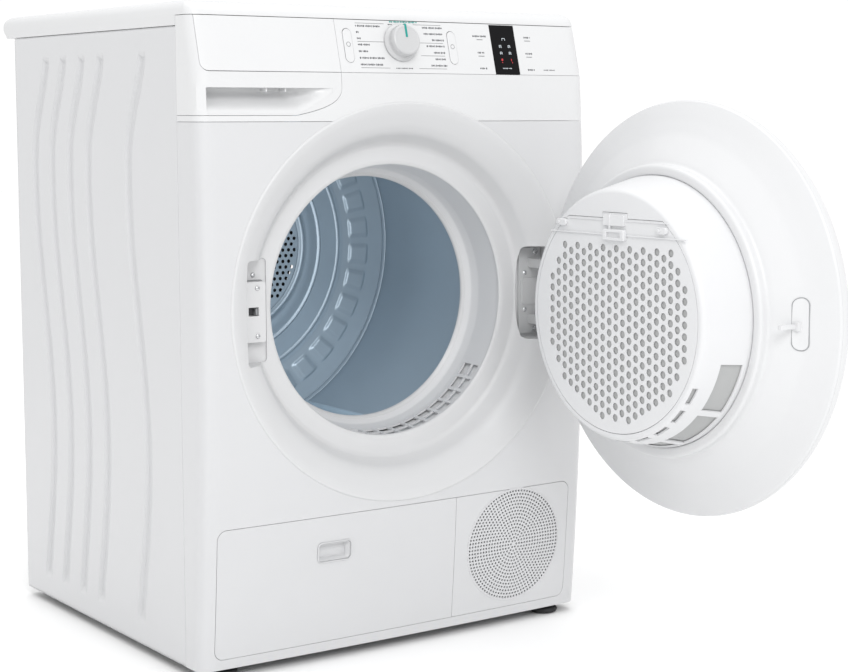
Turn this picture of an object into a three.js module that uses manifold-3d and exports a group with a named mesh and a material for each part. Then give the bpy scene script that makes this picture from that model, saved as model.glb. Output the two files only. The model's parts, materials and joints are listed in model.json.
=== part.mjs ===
// A front-loading condenser clothes dryer, 600 mm wide and 850 mm high, with its door standing open.
// Millimetres, +Z up. The origin is on the floor under the middle of the cabinet; -Y is the front.
// "Depth" (d) is measured backwards from the flat datum plane of the front, at y = FRONT.
import * as THREE from "three";
import { mergeVertices } from "three/addons/utils/BufferGeometryUtils.js";
import Module from "manifold-3d";

const wasm = await Module();
wasm.setup();

// ---- driving dimensions -------------------------------------------------------------------------
const WIDTH = 600;
const DEPTH = 576;
const HEIGHT = 850;
const HALF = WIDTH / 2;
const FRONT = -DEPTH / 2;
const BACK = DEPTH / 2;
const OVERHANG = 44; // the worktop reaches this far behind the side panels
const SKIRT = 12; // lower edge of the cabinet walls
const SHEET = 1.4; // painted steel
const SKIN = 2.6; // moulded front panels
const SEAM = 0.5; // half the gap between two neighbouring front panels
const FIT = 0.4; // clearance between pieces that touch
const ROUND = 40; // sides of the big round pieces
const WRAP = 62; // how far the front panels run back round the corners
const CORNER = 14; // radius of the cabinet's front corners
const BOW = { side: 5, rise: 17.3, middle: 483, reach: 400 }; // how the front bulges

const FASCIA = { foot: 701, crease: 763, top: 831 }; // heights of the panel seams
const FASCIA_TILT = THREE.MathUtils.degToRad(15.2); // how far the control band leans back
const WORKTOP = { under: 819, round: 13, nose: 35 };
const DISH = { z: 463.5, rim: 261, ridge: 232, step: 210, floor: 182.5, depth: 46 };
const DRUM = { z: 508, r: 284, front: 124, end: 508, mouth: 238, wall: 1.8 };
const THROAT = { front: 182, rear: 164, end: 113.5, wall: 2.6 };
const SHIELD = { front: 114, back: 116.5 };
const DOOR = { rim: 265, edge: -19, open: 92.25, pivotX: 245.4, pivotD: -24.1 };
const PLUG = { base: 171, face: 153, depth: 110 };
const COVER = { r: 147, z0: 563, z1: 583, tab: 590 };
const TANK = { right: -98, foot: 709 };
const HANDLE = { x0: -288, x1: -111, z0: 711.5, z1: 743, depth: 30 };
const KICK = { x0: -281, x1: 275, split: 79, z0: 25, z1: 194, r: 13 };
const GRILLE = { x: 180.6, z: 114.2, r: 77 };
const BELT = { d: 166, width: 9, thick: 1.5 };
const PULLEY = { x: GRILLE.x, z: GRILLE.z, r: 10 };
const IDLER = { x: 78, z: 143, r: 15 };
const ROLLER = { x: 175.7, r: 22, d0: 128, d1: 150 };
const KNOB = { x: -2, z: 802, r: 20, tall: 18 };
const BUTTON = { left: -81.5, right: 80, z: 797.5, width: 16, tall: 43 };
const INLET = { x: 240, z: 130 };
const LATCH = { x0: -236, x1: -188, z0: 396, z1: 529 };
const HINGE = { x0: 206, x1: 253, z0: 399, z1: 528 };
const ARM = { z: [424, 503], half: 6.5 };
const TENSION = { x: 60, z: 66, d: 158 };
const FOOT = { x: 258, y: 244 };
const LEVER = { x: [-258, -74], z: 174, d: 52 };
const WINDOWS = [[-163, -139], [-136, -112], [-109, -85], [-82, -58], [-55, -17]]; // degrees round the plug
const THROAT_WINDOWS = { count: 8, start: -30, sweep: 120 };
const SCREEN = { x0: 146, x1: 187, z0: 764.5, z1: 829.5 };

// ---- materials ----------------------------------------------------------------------------------
const finish = (color, roughness, metalness = 0) => ({ color, roughness, metalness });
const WHITE = finish(0xf4f4f5, 0.35);
const MOULD = finish(0xeeeeef, 0.4);
const DISH_GREY = finish(0xdcdcdd, 0.45);
const STEEL = finish(0x8795a3, 0.3, 0.9);
const ZINC = finish(0x9a9c9e, 0.4, 0.8);
const BLACK = finish(0x111214, 0.2);
const RUBBER = finish(0x2c2c2e, 0.8);
const FELT = finish(0xb9b6ae, 0.95);
const FILM = finish(0xc9d0d4, 0.3);
const BOARD = finish(0x2f6b45, 0.6);
const ALUMINIUM = finish(0xb6babd, 0.35, 0.9);

// ---- solids -------------------------------------------------------------------------------------
const depth = (d) => FRONT + d;

/** A manifold solid from any closed three.js geometry. */
function solid(geometry) {
  const bare = geometry.clone();
  bare.deleteAttribute("normal");
  bare.deleteAttribute("uv");
  const merged = mergeVertices(bare, 1e-4);
  return new wasm.Manifold(
    new wasm.Mesh({
      numProp: 3,
      vertProperties: new Float32Array(merged.attributes.position.array),
      triVerts: new Uint32Array(merged.index.array),
    }),
  );
}

/** A three.js geometry from a manifold solid. */
function geometryOf(body) {
  const mesh = body.getMesh();
  const position = new THREE.BufferAttribute(mesh.vertProperties, 3);
  const geometry = new THREE.BufferGeometry().setAttribute("position", position);
  geometry.setIndex(new THREE.BufferAttribute(mesh.triVerts, 1));
  geometry.computeVertexNormals();
  return geometry;
}

const join = (...bodies) => bodies.reduce((a, b) => a.add(b));
const cut = (body, ...tools) => tools.reduce((a, b) => a.subtract(b), body);

/** Box between two corners, given as x, depth and z ranges. */
function box([x0, x1], [d0, d1], [z0, z1]) {
  const g = new THREE.BoxGeometry(x1 - x0, d1 - d0, z1 - z0);
  return solid(g.translate((x0 + x1) / 2, depth((d0 + d1) / 2), (z0 + z1) / 2));
}

/** Closed outline of [r, d] pairs as points that run the way a lathe needs to face outwards. */
function outline(profile) {
  const points = profile.map(([r, d]) => new THREE.Vector2(r, d));
  if (THREE.ShapeUtils.isClockWise(points)) points.reverse();
  return [...points, points[0].clone()];
}

/** Turned piece about a front-to-back line through (x, z); the profile is a closed list of [r, d]. */
function turned(profile, x, z, segments = 48) {
  const g = new THREE.LatheGeometry(outline(profile), segments);
  return solid(g.translate(x, FRONT, z));
}

/** Round bar along the depth. */
const bar = (r, [d0, d1], x, z, segments = 24) =>
  turned([[0, d0], [r, d0], [r, d1], [0, d1]], x, z, segments);

/** Upright round bar. */
function post(r, [z0, z1], x, y, segments = 20) {
  const g = new THREE.CylinderGeometry(r, r, z1 - z0, segments).rotateX(Math.PI / 2);
  return solid(g.translate(x, y, (z0 + z1) / 2));
}

/** Outline in x and z, pushed through a depth range. */
function frontal(shape, [d0, d1], curveSegments = 8) {
  const g = new THREE.ExtrudeGeometry(shape, { depth: d1 - d0, bevelEnabled: false, curveSegments });
  return solid(g.rotateX(Math.PI / 2).translate(0, depth(d1), 0));
}

/** Outline in depth and z, pushed through an x range. */
function sideways(points, [x0, x1]) {
  const shape = new THREE.Shape(points.map(([d, z]) => new THREE.Vector2(depth(d), z)));
  const g = new THREE.ExtrudeGeometry(shape, { depth: x1 - x0, bevelEnabled: false });
  const turn = new THREE.Matrix4().makeBasis(
    new THREE.Vector3(0, 1, 0),
    new THREE.Vector3(0, 0, 1),
    new THREE.Vector3(1, 0, 0),
  );
  return solid(g.applyMatrix4(turn).translate(x0, 0, 0));
}

/** Plan outline in x and depth, pushed through a height range. */
function upright(points, [z0, z1]) {
  const shape = new THREE.Shape(points.map(([x, d]) => new THREE.Vector2(x, depth(d))));
  const g = new THREE.ExtrudeGeometry(shape, { depth: z1 - z0, bevelEnabled: false });
  return solid(g.translate(0, 0, z0));
}

/** Rectangle in x and z with round corners. */
function roundedRect([x0, x1], [z0, z1], r) {
  const s = new THREE.Shape();
  s.moveTo(x0 + r, z0).lineTo(x1 - r, z0);
  s.absarc(x1 - r, z0 + r, r, -Math.PI / 2, 0);
  s.lineTo(x1, z1 - r);
  s.absarc(x1 - r, z1 - r, r, 0, Math.PI / 2);
  s.lineTo(x0 + r, z1);
  s.absarc(x0 + r, z1 - r, r, Math.PI / 2, Math.PI);
  s.lineTo(x0, z0 + r);
  s.absarc(x0 + r, z0 + r, r, Math.PI, 1.5 * Math.PI);
  return s;
}

const circle = (x, z, r) => new THREE.Shape().absarc(x, z, r, 0, 2 * Math.PI);
const polygon = (points) => new THREE.Shape(points.map(([x, z]) => new THREE.Vector2(x, z)));

// ---- the bowed front ----------------------------------------------------------------------------
/** Depth of the front surface on the cabinet's centre line at height z. */
function frontLine(z) {
  if (z <= FASCIA.crease) return BOW.rise * ((z - BOW.middle) / BOW.reach) ** 2;
  const foot = BOW.rise * ((FASCIA.crease - BOW.middle) / BOW.reach) ** 2;
  const lean = (Math.min(z, FASCIA.top) - FASCIA.crease) * Math.tan(FASCIA_TILT);
  const up = Math.max(0, (z - FASCIA.top) / (HEIGHT - FASCIA.top));
  return foot + lean + WORKTOP.nose * (1 - Math.sqrt(Math.max(0, 1 - up * up)));
}

/** Depth of the front surface anywhere, with its sideways bulge and round corners. */
function frontDepth(x, z) {
  const out = Math.abs(x) - (HALF - CORNER);
  const corner = out > 0 ? CORNER - Math.sqrt(Math.max(0, CORNER ** 2 - out ** 2)) : 0;
  return frontLine(z) - BOW.side * (1 - (x / HALF) ** 2) + corner;
}

function stations() {
  const xs = [];
  for (let k = 0; k <= 3; k++) xs.push(HALF - CORNER + CORNER * Math.sin((k / 3) * (Math.PI / 2)));
  const inner = [-195, -98, 0, 98, 195];
  const across = [...xs.map((x) => -x).reverse(), ...inner, ...xs];
  const nose = [0.4, 0.7, 0.9, 1].map((t) => FASCIA.top + t * (HEIGHT - FASCIA.top));
  const up = [SKIRT, 130, 250, 370, 490, 610, 701, FASCIA.crease, FASCIA.top, ...nose];
  return { across, up };
}

/** Closed body with the front's bowed face, set back by inset, its sides in by inset. */
function envelope(inset, back) {
  const { across, up } = stations();
  const g = new THREE.BoxGeometry(2, 2, 2, across.length - 1, 1, up.length - 1);
  const p = g.attributes.position;
  for (let i = 0; i < p.count; i++) {
    const x = across[Math.round(((p.getX(i) + 1) / 2) * (across.length - 1))];
    const z = up[Math.round(((p.getZ(i) + 1) / 2) * (up.length - 1))];
    const d = p.getY(i) < 0 ? frontDepth(x, z) + inset : back;
    p.setXYZ(i, (x * (HALF - inset)) / HALF, depth(d), z);
  }
  return solid(g);
}

/** The front's skin between two depths below its surface. */
function skin(from, to) {
  const inner = envelope(to, WRAP + 40);
  return envelope(from, WRAP).subtract(inner);
}
const frontSkin = skin(0, SKIN);
const slab = ([z0, z1]) => box([-HALF - 5, HALF + 5], [-20, 90], [z0, z1]);

/** Outline of the water tank's drawer front, grown by g. */
function tankOutline(g) {
  const s = new THREE.Shape();
  s.moveTo(-HALF - 8, TANK.foot - g).lineTo(-165 + g, TANK.foot - g);
  s.bezierCurveTo(-128 + g, 716 - g, -98 + g, 724 - g, TANK.right + g, 744);
  s.lineTo(TANK.right + g, FASCIA.top + g).lineTo(-HALF - 8, FASCIA.top + g);
  return s;
}

/** Point on the fascia's surface and the turn that faces a piece straight out of it. */
function onFascia(x, z) {
  const group = new THREE.Group();
  group.position.set(x, depth(frontDepth(x, z)), z);
  group.rotation.x = -FASCIA_TILT;
  return group;
}

// ---- assembly bookkeeping -----------------------------------------------------------------------
const dryer = new THREE.Group();
dryer.name = "clothes_dryer";

function add(name, body, look, parent = dryer) {
  const mesh = new THREE.Mesh(geometryOf(body), new THREE.MeshStandardMaterial(look));
  mesh.name = name;
  parent.add(mesh);
  return mesh;
}

// ---- cabinet ------------------------------------------------------------------------------------
function sidePanel(side) {
  const s = (x) => side * x;
  const d0 = WRAP + FIT;
  const d1 = DEPTH - 2;
  const plan = [
    [s(HALF), d0], [s(HALF), d1], [s(HALF - 14), d1], [s(HALF - 14), d1 - SHEET],
    [s(HALF - SHEET), d1 - SHEET], [s(HALF - SHEET), d0 + SHEET], [s(HALF - 12), d0 + SHEET],
    [s(HALF - 12), d0],
  ];
  return upright(plan, [SKIRT, WORKTOP.under - FIT]);
}

function rearPanel() {
  const plate = box([-HALF + 0.5, HALF - 0.5], [DEPTH - 2 + FIT, DEPTH], [SKIRT, WORKTOP.under - FIT]);
  const inlet = bar(14.5, [DEPTH - 20, DEPTH + 20], INLET.x, INLET.z, 16);
  return cut(plate, bar(226, [DEPTH - 20, DEPTH + 20], 0, DRUM.z, 40), inlet);
}

function rearCover() {
  const d = DEPTH + 0.4;
  const dome = turned(
    [[0, d + 38], [150, d + 38], [205, d + 30], [225, d + 3], [246, d + 3], [246, d], [222, d],
      [202, d + 27.4], [148, d + 35.4], [0, d + 35.4]],
    0, DRUM.z, 32,
  );
  const vents = [];
  for (let i = 0; i < 8; i++) {
    const a = (i / 8) * 2 * Math.PI + 0.3;
    vents.push(bar(11, [d + 20, d + 60], 175 * Math.cos(a), DRUM.z + 175 * Math.sin(a), 6));
  }
  return cut(dome, ...vents);
}

function worktop() {
  const r = WORKTOP.round;
  const top = new THREE.Shape();
  top.moveTo(-HALF, WORKTOP.under).lineTo(HALF, WORKTOP.under).lineTo(HALF, HEIGHT - r);
  top.absarc(HALF - r, HEIGHT - r, r, 0, Math.PI / 2).lineTo(-HALF + r, HEIGHT);
  top.absarc(-HALF + r, HEIGHT - r, r, Math.PI / 2, Math.PI);
  const end = DEPTH + OVERHANG;
  const tail = [
    [-30, WORKTOP.under - 1], [end - 12, WORKTOP.under - 1], [end - 3, WORKTOP.under + 5],
    [end, HEIGHT - 18], [end - 3, HEIGHT - 8], [end - 10, HEIGHT - 2], [end - 20, HEIGHT + 0.01],
    [-30, HEIGHT + 0.01],
  ];
  const whole = envelope(0, end)
    .intersect(frontal(top, [-30, end + 5], 4))
    .intersect(sideways(tail, [-HALF - 5, HALF + 5]));
  const notch = box([-HALF - 5, HALF + 5], [-30, WRAP + FIT], [700, FASCIA.top + SEAM]);
  return cut(whole, notch);
}

const dishEye = () => bar(DISH.rim + FIT, [-30, 90], 0, DISH.z, ROUND);

function frontPanel() {
  const field = slab([SKIRT, FASCIA.foot - SEAM]);
  const kick = frontal(roundedRect([KICK.x0, KICK.x1], [KICK.z0, KICK.z1], KICK.r), [-30, 90], 3);
  return cut(frontSkin.intersect(field), dishEye(), kick);
}

const kickOutline = ([x0, x1]) => {
  const z = [KICK.z0 + 1, KICK.z1 - 1];
  const whole = frontal(roundedRect([KICK.x0 + 1, KICK.x1 - 1], z, KICK.r - 1), [-30, 90], 3);
  return whole.intersect(box([x0, x1], [-40, 95], [0, 300]));
};

function kickFlap() {
  const leaf = frontSkin.intersect(kickOutline([KICK.x0 - 9, KICK.split - SEAM]));
  const mouth = ([x0, x1], [z0, z1], r, d) => frontal(roundedRect([x0, x1], [z0, z1], r), [-20, d], 3);
  const cup = mouth([-139, -85], [131, 161], 7, 20).subtract(envelope(-1, 60).subtract(envelope(1, 60)));
  const wall = cup.intersect(envelope(1, 60));
  return cut(join(leaf, wall), mouth([-136, -88], [134, 158], 5, 17.4));
}

function grillePanel() {
  const leaf = frontSkin.intersect(kickOutline([KICK.split + SEAM, KICK.x1 + 9]));
  const holes = [];
  for (const [r, n] of [[24, 6], [56, 14]])
    for (let i = 0; i < n; i++) {
      const a = ((i + 0.5) / n) * 2 * Math.PI;
      holes.push(bar(4, [-10, 50], GRILLE.x + r * Math.cos(a), GRILLE.z + r * Math.sin(a), 6));
    }
  return cut(leaf, ...holes);
}

// ---- control fascia -----------------------------------------------------------------------------
const pill = (grow) => {
  const half = BUTTON.width / 2 + grow;
  const tall = BUTTON.tall / 2 + grow;
  return (x) => roundedRect([x - half, x + half], [BUTTON.z - tall, BUTTON.z + tall], half - 0.01);
};
const screen = (g) => roundedRect([SCREEN.x0 - g, SCREEN.x1 + g], [SCREEN.z0 - g, SCREEN.z1 + g], 1);

function controlFascia() {
  const field = slab([FASCIA.crease + SEAM, FASCIA.top - SEAM]);
  const seat = frontal(screen(0.3), [-30, 90], 2).intersect(envelope(-2, 90).subtract(envelope(1.5, 99)));
  return cut(
    frontSkin.intersect(field),
    frontal(tankOutline(2 * SEAM), [-40, 95]),
    frontal(pill(0.4)(BUTTON.left), [-30, 90]),
    frontal(pill(0.4)(BUTTON.right), [-30, 90]),
    frontal(circle(KNOB.x, KNOB.z, 9), [-30, 90], 5),
    seat,
  );
}

const lowerFascia = () =>
  cut(frontSkin.intersect(slab([FASCIA.foot + SEAM, FASCIA.crease - SEAM])),
    frontal(tankOutline(2 * SEAM), [-40, 95]), dishEye());

const displayWindow = () => skin(0.1, 1.2).intersect(frontal(screen(0), [-30, 60], 2));

function pushButton(x) {
  const cap = skin(-1.6, 1.2).intersect(frontal(pill(0)(x), [-30, 60], 4));
  const stem = box([x - 3, x + 3], [13, 26], [BUTTON.z - 3, BUTTON.z + 3]);
  return join(cap, stem);
}

/** The programme knob, made at the origin pointing along -Y, with its shaft behind. */
function knobBody() {
  const profile = [
    [0, -KNOB.tall], [KNOB.r - 2, -KNOB.tall], [KNOB.r, -KNOB.tall + 2], [KNOB.r + 1.5, -6],
    [KNOB.r + 5, -2.4], [KNOB.r + 5, -0.8], [3, -0.8], [3, 21], [0, 21],
  ];
  return turned(profile, 0, 0, 24).translate([0, -FRONT, 0]);
}

function controlBoard() {
  const plate = box([-60, 262], [46, 48], [770, 814]);
  const back = onFascia(KNOB.x, KNOB.z).position;
  const rise = 27 * Math.sin(FASCIA_TILT);
  const encoder = box([KNOB.x - 10, KNOB.x + 10], [41, 47], [back.z - rise - 12, back.z - rise + 8]);
  return join(plate, encoder);
}

// ---- water tank ---------------------------------------------------------------------------------

function tankFront() {
  const leaf = frontSkin.intersect(frontal(tankOutline(0), [-40, 95]))
    .intersect(slab([TANK.foot, FASCIA.top - SEAM]));
  const scoop = (g) => {
    const s = polygon([
      [HANDLE.x0 - g, HANDLE.z0 - g], [-160 + g, HANDLE.z0 - g], [HANDLE.x1 + g, HANDLE.z1 - 6],
      [HANDLE.x1 + g, HANDLE.z1 + g], [HANDLE.x0 - g, HANDLE.z1 + g],
    ]);
    const slope = sideways(
      [[-25, HANDLE.z0 - g], [3 + g, HANDLE.z0 - g], [HANDLE.depth + g, HANDLE.z1 - 8],
        [HANDLE.depth + g, HANDLE.z1 + g], [-25, HANDLE.z1 + g]],
      [HANDLE.x0 - 4, HANDLE.x1 + 4],
    );
    return frontal(s, [-20, 60]).intersect(slope);
  };
  const cup = scoop(2.2).intersect(envelope(1, 80));
  return cut(join(leaf, cup), scoop(0));
}

function waterTank() {
  const clear = DRUM.r + 10;
  const at = (x) => DRUM.z + Math.sqrt(clear ** 2 - x ** 2);
  const s = new THREE.Shape();
  s.moveTo(-287, 806).lineTo(-287, 716).lineTo(-206, 716);
  for (const x of [-190, -170, -150, -130, -106]) s.lineTo(x, at(x));
  s.lineTo(-106, 806);
  const spout = bar(12, [484, 500], -240, 780, 12);
  return join(frontal(s, [36, 486]), spout);
}

// ---- door opening -------------------------------------------------------------------------------
/** Solid ring behind the dished surround, whose rim follows the bowed front. */
function dishBlock(shift) {
  const c = DISH;
  const surface = [
    [c.floor, c.depth], [c.step - 3, c.depth], [c.step + 2, c.depth - 5], [c.step + 13, 20],
    [c.ridge, 14], [c.rim - 9, 3.5], [c.rim, 0],
  ];
  const g = new THREE.LatheGeometry(outline([...surface, [c.rim, 60], [c.floor, 60]]), ROUND);
  const p = g.attributes.position;
  for (let i = 0; i < p.count; i++) {
    const [x, d, z] = [p.getX(i), p.getY(i), p.getZ(i)];
    const r = Math.hypot(x, z);
    const follow = d > 55 ? 0 : Math.min(1, Math.max(0, (r - c.step) / (c.rim - c.step)));
    const own = d > 55 ? d : d + follow * frontDepth(x, z + c.z) + shift;
    p.setY(i, own);
  }
  return solid(g.translate(0, FRONT, c.z));
}


function dishRing() {
  const block = dishBlock(0);
  const sheet = cut(block, dishBlock(SKIN));
  const pocket = (p, g) => {
    const floor = DISH.depth + (g ? SKIN : 0);
    return box([p.x0 - g, p.x1 + g], [-20, floor], [p.z0 - g, p.z1 + g]);
  };
  const trays = join(pocket(LATCH, SKIN), pocket(HINGE, SKIN)).intersect(block);
  return cut(join(sheet, trays), pocket(LATCH, 0), pocket(HINGE, 0));
}

function latchPlate() {
  const plate = box([-222, -194], [34, 45.6], [423, 500]);
  const slot = box([-218.5, -204], [30, 43.6], [457, 467]);
  const channel = box([-218.5, -196.5], [36.6, 43.6], [457, 467]);
  const screws = [428, 495].map((z) => bar(3, [33.4, 36], -208, z, 8));
  return join(cut(plate, slot, channel), ...screws);
}
const latchCatch = () => box([-207.2, -200], [37, 43.2], [457.4, 466.6]);

function hingeBracket() {
  const plate = box([212, 249], [42.5, 45.6], [404, 524]);
  const arms = ARM.z.map((z) => {
    const span = [z - ARM.half, z + ARM.half];
    const reach = upright(
      [[228.4, 44], [235.4, 44], [235.4, DOOR.pivotD + 7], [DOOR.pivotX, DOOR.pivotD + 5],
        [DOOR.pivotX, DOOR.pivotD - 5], [228.4, DOOR.pivotD - 2]],
      span,
    );
    return join(reach, post(5.5, span, DOOR.pivotX, depth(DOOR.pivotD), 14));
  });
  const screws = [410, 518].map((z) => bar(4, [41, 43], 240, z, 8));
  const bore = post(3.2, [390, 540], DOOR.pivotX, depth(DOOR.pivotD), 16);
  return cut(join(plate, ...arms, ...screws), bore);
}
const hingePin = () =>
  join(
    post(2.9, [414, 513], DOOR.pivotX, depth(DOOR.pivotD), 14),
    post(4.6, [510, 512.4], DOOR.pivotX, depth(DOOR.pivotD), 14),
  );

function throatFunnel() {
  const { front, rear, end, wall } = THROAT;
  const cone = turned(
    [[front, 49.2], [178.6, 92], [174.5, 104], [rear, end], [rear + wall, end], [177.4, 105],
      [178.6 + wall, 93], [front + wall, 51.4], [front + 10, 51.4], [front + 10, 49.2]],
    0, DISH.z, ROUND,
  );
  const windows = [];
  const { count, start, sweep } = THROAT_WINDOWS;
  for (let i = 0; i < count; i++) {
    const a = THREE.MathUtils.degToRad(start - (sweep * (i + 0.5)) / count);
    const g = new THREE.BoxGeometry(30, 30, 34).rotateY(-a);
    g.translate(180 * Math.cos(a), depth(70), DISH.z + 180 * Math.sin(a));
    windows.push(solid(g));
  }
  return cut(cone, ...windows);
}

function frontShield() {
  const s = polygon([[-285, 218], [285, 218], [285, 800], [-92, 800], [-92, 690], [-285, 690]]);
  const plate = cut(
    frontal(s, [SHIELD.front, SHIELD.back]),
    bar(THROAT.rear + 1, [100, 130], 0, DISH.z, ROUND),
  );
  const pins = [-ROLLER.x, ROLLER.x].map((x) => bar(5, [SHIELD.front, 153], x, rollerZ, 12));
  return join(plate, ...pins);
}
const rollerZ = DRUM.z - Math.sqrt((DRUM.r + 0.3 + ROLLER.r) ** 2 - ROLLER.x ** 2);

const feltSeal = () =>
  turned([[226, 117], [DRUM.mouth + 20, 117], [DRUM.mouth + 20, 123.4], [226, 123.4]], 0, DRUM.z, 40);

// ---- drum and drive -----------------------------------------------------------------------------
function drumShell() {
  const { r, front, end, mouth, wall } = DRUM;
  return turned(
    [[mouth, front], [r - 8, front], [r - 1, front + 4.6], [r, front + 10], [r, end], [r - wall, end],
      [r - wall, front + 11], [r - 2.6, front + 6.4], [r - 9, front + wall], [mouth, front + wall]],
    0, DRUM.z, ROUND,
  );
}

function drumBack() {
  const rim = DRUM.r - 2.4;
  const plate = turned(
    [[0, 500], [124, 500], [146, 510], [172, 515], [214, 515], [rim, 501], [rim, 505], [214, 519],
      [172, 519], [146, 514], [124, 504], [0, 504]],
    0, DRUM.z, ROUND,
  );
  const holes = [];
  for (const [ring, n] of [[48, 6], [92, 10]])
    for (let i = 0; i < n; i++) {
      const a = ((i + 0.5) / n) * 2 * Math.PI;
      holes.push(bar(5, [490, 520], ring * Math.cos(a), DRUM.z + ring * Math.sin(a), 6));
    }
  const shaft = bar(11, [502, 556], 0, DRUM.z, 16);
  const boss = bar(26, [502, 516], 0, DRUM.z, 16);
  return join(cut(plate, ...holes), boss, shaft);
}

function lifter(angle) {
  const inner = DRUM.r - DRUM.wall - 1.3;
  const s = polygon([
    [inner - 4, -34], [inner - 1, -20], [inner - 0.6, 0], [inner - 1, 20], [inner - 4, 34],
    [inner - 20, 20], [inner - 42, 9], [inner - 46, 0], [inner - 42, -9], [inner - 20, -20],
  ]);
  const rib = frontal(s, [150, 470]);
  return rib.rotate([0, -angle, 0]).translate([0, 0, DRUM.z]);
}

const bearing = () => turned([[11.4, 536], [34, 536], [34, 552], [11.4, 552]], 0, DRUM.z, 24);

/** Corner points of a belt that runs anticlockwise over pulleys [x, z, signed radius]. */
function beltPath(pulleys, offset) {
  const normals = pulleys.map(([x, z, r], i) => {
    const [x2, z2, r2] = pulleys[(i + 1) % pulleys.length];
    const length = Math.hypot(x2 - x, z2 - z);
    return Math.atan2(z2 - z, x2 - x) - Math.acos((r - r2) / length);
  });
  const points = [];
  pulleys.forEach(([x, z, r], i) => {
    const from = normals[(i + normals.length - 1) % normals.length];
    let sweep = normals[i] - from;
    const turn = 2 * Math.PI;
    sweep = r > 0 ? ((sweep % turn) + turn) % turn : -(((-sweep % turn) + turn) % turn);
    const steps = Math.max(3, Math.ceil(Math.abs(sweep) / (Math.abs(r) > 100 ? 0.13 : 0.5)));
    for (let k = 0; k <= steps; k++) {
      const a = from + (sweep * k) / steps;
      points.push([x + (r + offset) * Math.cos(a), z + (r + offset) * Math.sin(a)]);
    }
  });
  return points;
}

function driveBelt() {
  const gap = 0.4;
  const runs = [
    [0, DRUM.z, DRUM.r + gap + 0.4],
    [IDLER.x, IDLER.z, -(IDLER.r + gap + BELT.thick)],
    [PULLEY.x, PULLEY.z, PULLEY.r + gap],
  ];
  const loop = (offset) => frontal(polygon(beltPath(runs, offset)), [BELT.d, BELT.d + BELT.width]);
  return cut(loop(BELT.thick), frontal(polygon(beltPath(runs, 0)), [BELT.d - 5, BELT.d + BELT.width + 5]));
}

const roller = (x) =>
  turned([[5.4, ROLLER.d0], [ROLLER.r, ROLLER.d0], [ROLLER.r, ROLLER.d1], [5.4, ROLLER.d1]], x, rollerZ, 24);

function motor() {
  const [x, z] = [PULLEY.x, PULLEY.z];
  const can = turned(
    [[9, 200], [30, 200], [56, 208], [58, 214], [58, 326], [56, 332], [30, 340], [9, 340]], x, z, 28);
  const lugs = box([x - 44, x + 44], [215, 325], [44, z - 40]);
  return join(can, cut(lugs, bar(30, [205, 335], x, z, 16)));
}

function motorPulley() {
  const profile = [
    [0, 66], [6, 66], [6, 160], [13, 160], [13, 163], [PULLEY.r, 164], [PULLEY.r, 177], [13, 178],
    [13, 181], [8, 181], [8, 480], [0, 480],
  ];
  return turned(profile, PULLEY.x, PULLEY.z, 16);
}

function fanWheel(radius, [d0, d1], bore, plate) {
  const [x, z] = [PULLEY.x, PULLEY.z];
  const hub = turned([[bore, d0], [bore + 9, d0], [bore + 9, d1], [bore, d1]], x, z, 12);
  const disc = turned([[bore, plate], [radius, plate], [radius, plate + 2], [bore, plate + 2]], x, z, 20);
  const blades = [];
  for (let i = 0; i < 6; i++) {
    const g = new THREE.BoxGeometry(radius - bore - 16, d1 - d0, 2);
    g.translate((radius + bore) / 2 + 4, 0, 0).rotateY((i / 6) * 2 * Math.PI + 0.1);
    blades.push(solid(g.translate(x, depth((d0 + d1) / 2), z)));
  }
  return join(hub, disc, ...blades);
}

const fanHousing = () =>
  turned(
    [[79, 425], [82, 425], [82, 492], [20, 492], [20, 489], [79, 489]], PULLEY.x, PULLEY.z, 32);

function tensionerArm() {
  const [dx, dz] = [IDLER.x - TENSION.x, IDLER.z - TENSION.z];
  const angle = Math.atan2(dz, dx);
  const g = new THREE.BoxGeometry(Math.hypot(dx, dz), 3, 16).rotateY(-angle);
  g.translate((IDLER.x + TENSION.x) / 2, depth(TENSION.d + 1.5), (IDLER.z + TENSION.z) / 2);
  const blade = solid(g);
  const eye = bar(12, [TENSION.d - 4, TENSION.d + 3], TENSION.x, TENSION.z, 18);
  const axle = bar(4, [TENSION.d, 180], IDLER.x, IDLER.z, 12);
  return cut(join(blade, eye, axle), bar(5.3, [150, 170], TENSION.x, TENSION.z, 14));
}
const idlerPulley = () =>
  turned([[4.3, 164], [IDLER.r, 164], [IDLER.r, 177], [4.3, 177]], IDLER.x, IDLER.z, 20);

// ---- base and condenser -------------------------------------------------------------------------
const feet = [[-1, -1], [1, -1], [-1, 1], [1, 1]];

function baseTray() {
  const floor = upright([[-286, 66], [-272, 32], [272, 32], [286, 66], [286, 568], [-286, 568]], [14, 18]);
  const sump = box([-70, 70], [220, 360], [6, 16]);
  const walls = [
    box([-286, -282], [68, 568], [16, 42]), box([282, 286], [68, 568], [16, 42]),
    box([-286, 286], [564, 568], [16, 42]), box([-272, 272], [32, 36], [16, 22]),
    box([-282, -278], [68, 500], [16, 200]), box([-54, -50], [68, 500], [16, 200]),
    box([-282, -50], [496, 500], [16, 200]),
  ];
  const saddle = box([PULLEY.x - 50, PULLEY.x + 50], [215, 325], [16, 43.5]);
  const stand = join(
    box([TENSION.x - 18, TENSION.x + 18], [146, 152], [16, TENSION.z + 14]),
    bar(4.9, [150, 166], TENSION.x, TENSION.z, 14),
  );
  const sockets = feet.map(([i, j]) => post(12, [16, 36], i * FOOT.x, j * FOOT.y, 14));
  const bores = feet.map(([i, j]) => post(5.5, [0, 37], i * FOOT.x, j * FOOT.y, 12));
  const relief = box([-200, -90], [280, 420], [10, 14.01]);
  return cut(join(floor, sump, ...walls, saddle, stand, ...sockets), ...bores, relief);
}

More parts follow.
